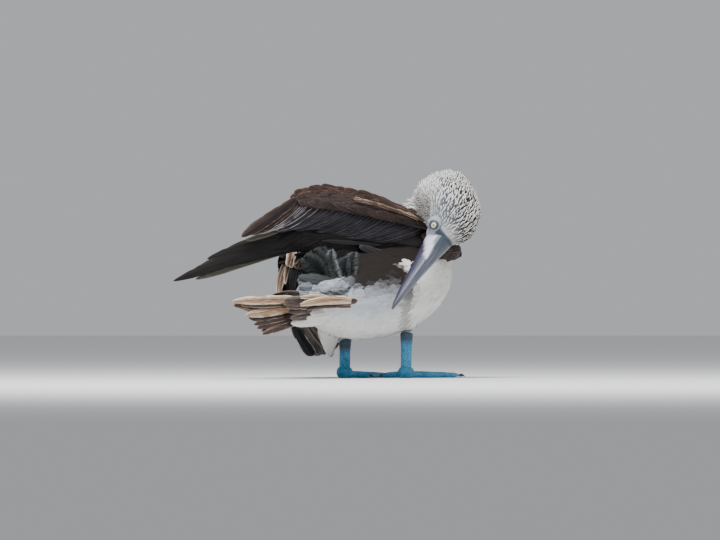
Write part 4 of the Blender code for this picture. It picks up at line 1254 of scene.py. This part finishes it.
for x, y, z, tall, thick in TAIL_STUMP:
    middle = placed((x, y, z))
    stump_rings.append(ring_about(middle, Vector((0, 0, 1)), Vector((0, 1, 0)), tall * CM, thick * CM))
section_loft("tail_stump", stump_rings, dusky)

# Rump plumes
# Preening has pulled soft plumes of rump and flank up behind the wing, over a bed of loose feathers;
# their grey is painted shade, with painted highlights on the brighter ones.
# The plumes' barbs hang free, and a long pale feather lies loose along the tail's root.
PLUMES = (
    ((-15.2, -1.2, 10.3), (-16.4, 1.2, 13.4), 3.0, 0.3, 0.02),
    ((-14.8, -1.2, 10.4), (-14.6, 0.9, 14.2), 3.0, 0.1, 0.03),
    ((-14.2, -1.4, 10.7), (-12.9, 0.5, 14.5), 2.6, -0.2, 0.05),
    ((-13.8, -1.9, 10.8), (-13.1, -0.8, 14.3), 1.9, -0.4, 0.36),
    ((-11.6, -2.6, 11.0), (-9.9, -2.1, 14.0), 2.0, -0.3, 0.15),
    ((-12.6, -2.2, 11.0), (-11.6, -1.8, 13.4), 1.8, -0.2, 0.07),
)
PLUME_BARBS = 110
BARB_WIDE = 0.00055
BARB_FACES = np.array(((0, 1, 2), (0, 2, 3), (0, 3, 1), (4, 2, 1), (4, 3, 2), (4, 1, 3)))
BARB_EDGES = np.array((0, 0.5, 0.5, 0.5, 1))


def plume(root, tip, width, sweep):
    """A downy feather: separate soft barbs down both sides of its swept line."""
    root, tip = placed(root), placed(tip)
    along = (tip - root).normalized()
    side = along.cross(Vector(FACE_OUT)).normalized()
    face = side.cross(along)
    points, faces, shares_at, edges = [], [], [], []
    for i in range(PLUME_BARBS):
        share = 0.02 + 0.96 * i / PLUME_BARBS
        foot = root.lerp(tip, share) + side * 4 * share * (1 - share) * sweep * CM
        fullness = math.sin(math.pi * min(0.12 + 0.9 * share, 1)) ** 0.55
        reach = width * CM / 2 * fullness * rng.uniform(0.75, 1.0)
        for way in (1, -1):
            end = foot + side * way * reach + along * reach * rng.uniform(0.5, 0.9)
            end = end + face * wobble(0.6) * reach
            middle = foot.lerp(end, 0.5) + along * reach * 0.12
            half = BARB_WIDE * rng.uniform(0.7, 1.2)
            faces.append(BARB_FACES + len(points))
            ridge_top = middle + face * half * 0.5
            points += [foot, middle + along * half, ridge_top, middle - along * half, end]
            shares_at += [share] * len(BARB_EDGES)
            edges.append(BARB_EDGES * way)
    return {
        "points": np.array([list(point) for point in points]),
        "faces": np.concatenate(faces),
        "share": np.array(shares_at),
        "edge": np.concatenate(edges),
        "along": np.array(shares_at) * (tip - root).length / CM,
    }


# Each feather's blue-grey, dark to pale by its lit level, is painted shade over pale plumage; the brightest
# are painted highlights.
down, wire, shader = new_material("rump_plumes", 0.85, Sheen_Weight=0.03, Specular_IOR_Level=0.1)
edge, along, spark, bright = (wire.attribute(name) for name in ("edge", "along", "spark", "bright"))
fluff = wire.noise(1.0, 4.0, wire.combine(wire.times(edge, 9.0), along, wire.times(spark, 40.0)))
bright = wire.times(bright, wire.math("MULTIPLY_ADD", wire.ramp(fluff, 0.3, 0.7), 1.3, 0.35))
grey = wire.mix(bright, (0.011, 0.012, 0.011, 1), (0.52, 0.56, 0.62, 1))
tips = wire.times(wire.ramp(wire.attribute("share"), 0.2, 1.0), 0.35)
wire.put(shader.inputs["Base Color"], wire.mix(tips, grey, (0.10, 0.11, 0.12, 1)))
plumes = [plume(*row[:4]) for row in PLUMES]
feathered("rump_plumes", plumes, down, "body_feathers", bright=[row[4] for row in PLUMES])
LOOSE_FACE = (-0.5, -0.85, 0.25)
HIND_RUMP = 7
rump = []
for row in range(3):
    for share in shares(5):
        root = (-12.0 - 1.6 * row, -3.1 + 0.5 * row, 11.0 - 0.9 * share - 0.25 * row)
        tip = (root[0] - 4.6 + wobble(0.5), root[1] + 0.7, root[2] - 0.9 + wobble(0.3))
        rump.append(body_tile(root, tip, 1.3, LOOSE_FACE, 0.25, 14, 0.7, tilt=wobble(0.3)))
for share in shares(HIND_RUMP):
    root = (-14.0 - 1.0 * share, -2.2, 10.4 - 0.9 * share)
    tip = (-21.4, -0.6 + wobble(0.2), 11.2 - 2.0 * share)
    rump.append(body_tile(root, tip, 1.3, LOOSE_FACE, 0.25, 14, 0.7, tilt=wobble(0.3)))
# Lit levels: scattered bright feathers stand in for sunlit highlights, and the hind row runs from painted
# shade to lighter.
brightness = [rng.uniform(0.15, 0.95, len(rump) - HIND_RUMP), np.linspace(0.06, 0.7, HIND_RUMP)]
feathered("rump_feathers", rump, down, "body_feathers", bright=np.concatenate(brightness))
loose = [
    body_vane((-22.4, -1.3, 8.15), (-14.3, -4.15, 8.55), 1.05, LOOSE_FACE, 0.35, -0.25, rows=18, fray=0.15),
    body_vane((-22.0, -1.1, 9.00), (-16.8, -2.6, 8.85), 0.70, LOOSE_FACE, 0.30, rows=14, fray=0.2),
]
feathered("loose_flank_feathers", loose, pale, "body_feathers")
# The feather below the loose one takes the dark tail finish as painted shade beneath it.
shadowed = [
    body_vane((-20.5, -1.2, 7.70), (-14.9, -4.0, 7.95), 0.90, LOOSE_FACE, 0.30, -0.3, rows=18, fray=0.2),
    body_vane((-17.0, -3.2, 8.20), (-13.9, -4.3, 8.65), 0.80, LOOSE_FACE, 0.10, rows=12, fray=0.2),
]
feathered("loose_flank_feather_below", shadowed, dusky, "body_feathers")

# Bill
# Two horny sheaths, upper and lower, meet along a straight mouth line and taper to a slightly bent tip.
# The horn is slate blue with fine lines along its length, with a painted highlight along the ridge near the
# brow, and painted shade along the top of the ridge and on the lower side near the root.
BILL_STATIONS = (
    (3.6, -1.40, 1.42, 1.45),
    (4.4, -1.36, 1.36, 1.40),
    (5.0, -1.35, 1.28, 1.32),
    (6.5, -1.38, 1.00, 1.11),
    (9.0, -1.42, 0.70, 0.81),
    (12.0, -1.50, 0.43, 0.48),
    (13.8, -1.60, 0.23, 0.25),
    (14.55, -1.72, 0.07, 0.08),
)
BILL_RINGS, BILL_SIDES = 44, 14
MOUTH_LEVEL = -0.28
MOUTH_GAP = 0.008
# Where the painted highlight lies on the bill: between these turns from the ridge, in degrees, by distance
# ahead.
HIGHLIGHT_AHEAD = (3.3, 4.33, 5.0, 5.84, 6.91, 7.31, 7.6)
HIGHLIGHT_LOW = (-20, -10, 26, 62, 90, 119, 140)
HIGHLIGHT_HIGH = (84, 92, 102, 113, 118, 119, 100)


def bill_ring(ahead, upper):
    """Half a bill's section: flat along the mouth, with a narrow ridge above and a shallow side groove."""
    places, levels, wides, deeps = zip(*BILL_STATIONS)
    level, wide, deep = (np.interp(ahead, places, row) for row in (levels, wides, deeps))
    mouth = level + MOUTH_LEVEL * deep
    sign = 1 if upper else -1
    reach = (deep + level - mouth) if upper else (deep - level + mouth)
    ring = []
    for i in range(BILL_SIDES + 1):
        turn = math.pi * i / BILL_SIDES
        lift = max(math.sin(turn), 0.0)
        groove = 0.05 * wide * math.exp(-(((lift - 0.55) / 0.12) ** 2)) if upper else 0.0
        sideways = math.cos(turn)
        side = sideways * (abs(sideways) ** 0.12) * wide - groove * math.copysign(1, sideways)
        ring.append(on_head(ahead, mouth + sign * (MOUTH_GAP + lift * reach), side))
    return ring


def bill_half(name, upper):
    first, last = BILL_STATIONS[0][0], BILL_STATIONS[-1][0]
    rows = [first + (last - first) * i / (BILL_RINGS - 1) for i in range(BILL_RINGS)]
    half = closed_form(name, [[placed(point) for point in bill_ring(row, upper)] for row in rows])
    bpy.ops.object.shade_smooth_by_angle(angle=math.radians(40))
    ahead, up, left = on_skull(in_bird(coordinates(half.data))).T
    places, levels = list(zip(*BILL_STATIONS))[:2]
    turn = np.degrees(np.arctan2(np.abs(left), up - np.interp(ahead, places, levels)))
    # The painted highlight of sun on the ridge near the brow.
    low, high = np.interp(ahead, HIGHLIGHT_AHEAD, HIGHLIGHT_LOW), np.interp(ahead, HIGHLIGHT_AHEAD, HIGHLIGHT_HIGH)
    give(half.data, "culmen_highlight", smooth(turn, low - 7, low + 5) * (1 - smooth(turn, high - 5, high + 5)))
    give(half.data, "ahead", ahead)
    give(half.data, "turn", turn / 180)
    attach(half, "root")
    return half


horn, wire, shader = new_material("bill_horn", 0.38, Coat_Weight=0.15, Coat_Roughness=0.3)
ahead, turn = wire.attribute("ahead"), wire.attribute("turn")
lines = wire.noise(1.0, 4.0, wire.combine(wire.times(ahead, 0.5), wire.times(turn, 16.0)))
horn_colour = wire.mix(wire.ramp(lines, 0.3, 0.7), (0.058, 0.062, 0.092, 1), (0.125, 0.135, 0.175, 1))
# Painted shade: dark purple along the top of the ridge.
ridge_shade = wire.times(wire.ramp(turn, 0.52, 0.30), 0.85)
horn_colour = wire.mix(ridge_shade, horn_colour, (0.040, 0.030, 0.072, 1))
# Painted shade: darker slate on the lower side near the root.
lower_side_shade = wire.times(wire.times(wire.ramp(ahead, 7.2, 4.2), wire.ramp(turn, 0.50, 0.60)), 0.85)
horn_colour = wire.mix(lower_side_shade, horn_colour, (0.032, 0.050, 0.072, 1))
horn_colour = wire.mix(wire.ramp(ahead, 12.0, 14.6), horn_colour, (0.045, 0.048, 0.062, 1))
# The painted highlight, broken by the fine lines.
culmen_glare = wire.times(wire.attribute("culmen_highlight"), wire.ramp(lines, 0.05, 0.45))
horn_colour = wire.mix(culmen_glare, horn_colour, (0.70, 0.70, 0.82, 1))
wire.put(shader.inputs["Base Color"], horn_colour)
wire.put(shader.inputs["Roughness"], wire.math("MULTIPLY_ADD", lines, 0.25, 0.25))
wire.bump(shader, 0.3, 0.0003, lines)
for name, is_upper, made_of in (
    ("bill_upper", True, "bill_horn"),
    ("bill_lower", False, "lower_bill_horn"),
):
    half = bill_half(name + "_sheath", is_upper)
    half.data.materials.append(horn)
    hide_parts(name)

# Eyes and lids
# Each eye is a glossy ball with a pale yellow iris and a small black pupil, deep in a ring of bare lid.
# The lid is one rippled sheet of skin laid over the ball, with a rolled rim round the opening.
EYE_RADIUS = 0.70
LID_BALL = EYE_RADIUS + 0.03
LID_TURN = LID_BALL * 0.93
LID_OPENING = 0.38
LID_REACH = 0.92
LID_SLIT = 0.72
LID_SIDES = 40
LID_PROFILE = (
    (LID_OPENING - 0.02, 0.0), (LID_OPENING, 0.06), (LID_OPENING + 0.10, 0.09), (0.62, 0.06),
    (0.74, 0.06), (0.84, -0.04), (LID_REACH, -0.22),
)
PUPIL_TURN, IRIS_TURN = 0.135, 0.62


def eye_way(side):
    return (AHEAD * 0.70 - CROWN * 0.22 + CHEEK * 0.66 * side).normalized()


def turned(mesh, way, centre):
    """Turns a form made along Z to look this way, with its X along the bill, and sets it here."""
    long_way = (AHEAD - way * AHEAD.dot(way)).normalized()
    turn = Matrix((long_way, way.cross(long_way), way)).transposed().to_4x4()
    mesh.transform(Matrix.Translation(centre) @ turn)


gloss, wire, shader = new_material("eye_gloss", 0.06, Coat_Weight=1.0, Coat_Roughness=0.02)
turn = wire.attribute("turn")
ray_place = wire.combine(wire.times(wire.attribute("spoke"), 14.0), wire.times(turn, 3.0))
rays = wire.noise(1.0, 3.0, ray_place)
iris = wire.mix(rays, (0.62, 0.60, 0.38, 1), (0.86, 0.84, 0.64, 1))
iris = wire.mix(wire.ramp(turn, IRIS_TURN - 0.10, IRIS_TURN), iris, (0.16, 0.17, 0.19, 1))
iris = wire.mix(wire.ramp(turn, PUPIL_TURN + 0.05, PUPIL_TURN - 0.02), iris, (0.004, 0.004, 0.005, 1))
wire.put(shader.inputs["Base Color"], iris)

lid_skin, wire, shader = new_material("eyelid_skin", 0.5, Specular_IOR_Level=0.4)
lid_noise = wire.noise(500.0)
lid_colour = wire.mix(lid_noise, (0.035, 0.042, 0.055, 1), (0.10, 0.115, 0.14, 1))
lid_pale = wire.mix(lid_noise, (0.24, 0.28, 0.33, 1), (0.46, 0.49, 0.55, 1))
lid_colour = wire.mix(wire.ramp(wire.attribute("reach"), 0.50, 0.66), lid_colour, lid_pale)
wire.put(shader.inputs["Base Color"], lid_colour)
wire.bump(shader, 0.5, 0.0003, lid_noise)

for name, side in (("left", 1), ("right", -1)):
    centre = placed(on_head(EYE_SEAT[0], EYE_SEAT[1], EYE_SEAT[2] * side))
    bpy.ops.object.select_all(action="DESELECT")
    bpy.ops.mesh.primitive_uv_sphere_add(segments=64, ring_count=64, radius=EYE_RADIUS * CM)
    eye = bpy.context.object
    eye.name = eye.data.name = "eyeball_" + name
    spots = coordinates(eye.data)
    give(eye.data, "turn", np.arccos(np.clip(spots[:, 2] / (EYE_RADIUS * CM), -1, 1)))
    give(eye.data, "spoke", np.abs(np.arctan2(spots[:, 1], spots[:, 0])))
    turned(eye.data, eye_way(side), centre)
    bpy.ops.object.shade_smooth()
    eye.data.materials.append(gloss)
    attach(eye, "root")
    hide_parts("eye_" + name)

    points, faces = [], []
    for reach, lift in LID_PROFILE:
        over = min(reach, LID_TURN)
        height = math.sqrt(max(LID_BALL**2 - over**2, 0)) + lift - max(0, reach - LID_TURN) * 0.6
        narrow = LID_SLIT + (1 - LID_SLIT) * min(1.0, (reach - LID_OPENING) / 0.4)
        for i in range(LID_SIDES):
            angle = 2 * math.pi * i / LID_SIDES
            ripple = 1 + 0.02 * math.sin(9 * angle + 3 * reach)
            x, y = reach * math.cos(angle) * ripple, reach * math.sin(angle) * ripple * narrow
            points.append(Vector((x, y, height)) * CM)
    for row in range(len(LID_PROFILE) - 1):
        for i in range(LID_SIDES):
            here, beside = row * LID_SIDES + i, row * LID_SIDES + (i + 1) % LID_SIDES
            faces.append((here, here + LID_SIDES, beside + LID_SIDES, beside))
    lid = new_object("eyelids_" + name, points, faces)
    spots = coordinates(lid.data) / CM
    give(lid.data, "reach", np.hypot(spots[:, 0], spots[:, 1]))
    turned(lid.data, eye_way(side), centre)
    applied(lid, "SOLIDIFY", thickness=0.0006, offset=-1)
    applied(lid, "SUBSURF", levels=1, render_levels=1)
    bpy.ops.object.shade_smooth()
    lid.data.materials.append(lid_skin)
    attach(lid, "root")

# Legs and feet
# Bare, scaly shanks stand on broad webs of four joined toes, all a bright sky blue, with horn claws.
# Shanks and feet are the solids' own forms, smoothed, and darken to grey at the feathered ankle.
FOOT_CELL = 0.0011
ANKLES = {"left": 4.2, "right": 5.2}
HEELS = {"left": (-0.4, 3.6), "right": (0.3, -3.6)}
TOE_LENGTHS = (8.6, 8.8, 6.6, 3.2)
TOE_TURNS = (-8.0, 14.0, -32.0, -92.0)
FOOT_TURN = 7.0
CLAW_STATIONS = (
    (-0.55, 0.30, 0.16), (-0.25, 0.34, 0.17), (0.02, 0.30, 0.13), (0.24, 0.20, 0.08), (0.36, 0.09, 0.02),
)

leg_skin, wire, shader = new_material("leg_skin", 0.45, Specular_IOR_Level=0.45, Coat_Weight=0.1)
place = wire.add("ShaderNodeTexCoord").outputs["Object"]
voronoi = wire.add("ShaderNodeTexVoronoi", {"Vector": place, "Scale": 320.0}, feature="DISTANCE_TO_EDGE")
patchy = wire.noise(70.0, 4.0, place)
blue = wire.mix(wire.ramp(patchy, 0.3, 0.7), (0.030, 0.260, 0.500, 1), (0.075, 0.420, 0.700, 1))
ankle = wire.times(wire.attribute("ankle"), wire.ramp(patchy, 0.25, 0.5))
blue = wire.mix(ankle, blue, (0.028, 0.048, 0.070, 1))
scale = wire.ramp(voronoi.outputs["Distance"], 0.0, 0.14)
seam = wire.times(wire.math("SUBTRACT", 1.0, scale), 0.60)
wire.put(shader.inputs["Base Color"], wire.mix(seam, blue, (0.010, 0.070, 0.150, 1)))
wire.bump(shader, 0.6, 0.0005, scale)

claw_horn, wire, shader = new_material("claw_horn", 0.35, Coat_Weight=0.2)
claw_noise = wire.noise(300.0)
claw_colour = wire.mix(claw_noise, (0.020, 0.022, 0.026, 1), (0.075, 0.080, 0.085, 1))
wire.put(shader.inputs["Base Color"], claw_colour)

for side, ankle_level in ANKLES.items():
    for node in ("shank_" + side, "foot_" + side):
        limb = copied(node)
        limb.name = limb.data.name = node + "_skin"
        applied(limb, "REMESH", mode="VOXEL", voxel_size=FOOT_CELL)
        applied(limb, "SMOOTH", factor=0.5, iterations=5)
        spots = coordinates(limb.data)
        spots[:, 2] = np.maximum(spots[:, 2], 0.0)
        move_to(limb.data, spots)
        bpy.ops.object.shade_smooth()
        give(limb.data, "ankle", smooth(spots[:, 2] / CM, ankle_level - 1.7, ankle_level - 0.7))
        limb.data.materials.clear()
        limb.data.materials.append(leg_skin)
        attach(limb, "root")
        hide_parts(node)
    sign = 1 if side == "left" else -1
    for i, (length, turn) in enumerate(zip(TOE_LENGTHS, TOE_TURNS)):
        angle = math.radians(FOOT_TURN + turn) * sign
        ahead = Vector((math.cos(angle), math.sin(angle), 0))
        across = Vector((-math.sin(angle), math.cos(angle), 0))
        heel = Vector((*HEELS[side], 0))
        rings = []
        for reach, level, radius in CLAW_STATIONS:
            centre = placed(heel + ahead * (length + reach) + Vector((0, 0, level)))
            thick = radius * 1.1 * CM
            rings.append(ring_about(centre, across, Vector((0, 0, 1)), radius * CM, thick, sides=8))
        section_loft(f"claw_{side}_{i + 1}", rings, claw_horn)

# Stage
# A pale round table stands in a pale room, lit by one large soft lamp from the upper left.
# The camera looks from far off at the photo's angle, a little ahead of the bird's right side.
VIEW = Vector((0.9063, 0.4226, 0.0))
VIEW_RIGHT = Vector((0.4226, -0.9063, 0.0))
CAMERA_FAR = 20.0
AIM = STANCE - VIEW_RIGHT * 0.0172 + Vector((0, 0, 0.12))

bpy.ops.mesh.primitive_circle_add(vertices=128, radius=13.0, fill_type="NGON", location=(0, 0, 0))
floor = bpy.context.object
floor.name = "floor"

camera_data = bpy.data.cameras.new("camera")
camera_data.lens = 900
camera_data.sensor_width = 36
camera = in_scene("camera", camera_data)
camera.location = AIM - VIEW * CAMERA_FAR
camera.rotation_euler = VIEW.to_track_quat("-Z", "Y").to_euler()
bpy.context.scene.camera = camera

key_data = bpy.data.lights.new("key", "AREA")
key_data.size = 1.2
key_data.energy = 140
key = in_scene("key", key_data)
key.location = Vector((-1.50, -0.45, 2.6))
key.rotation_euler = (Vector((0, 0, 0.1)) - key.location).to_track_quat("-Z", "Y").to_euler()

world = bpy.data.worlds.new("room")
world.use_nodes = True
room_light = world.node_tree.nodes["Background"]
room_light.inputs["Color"].default_value = (0.80, 0.82, 0.85, 1)
room_light.inputs["Strength"].default_value = 0.56
bpy.context.scene.world = world
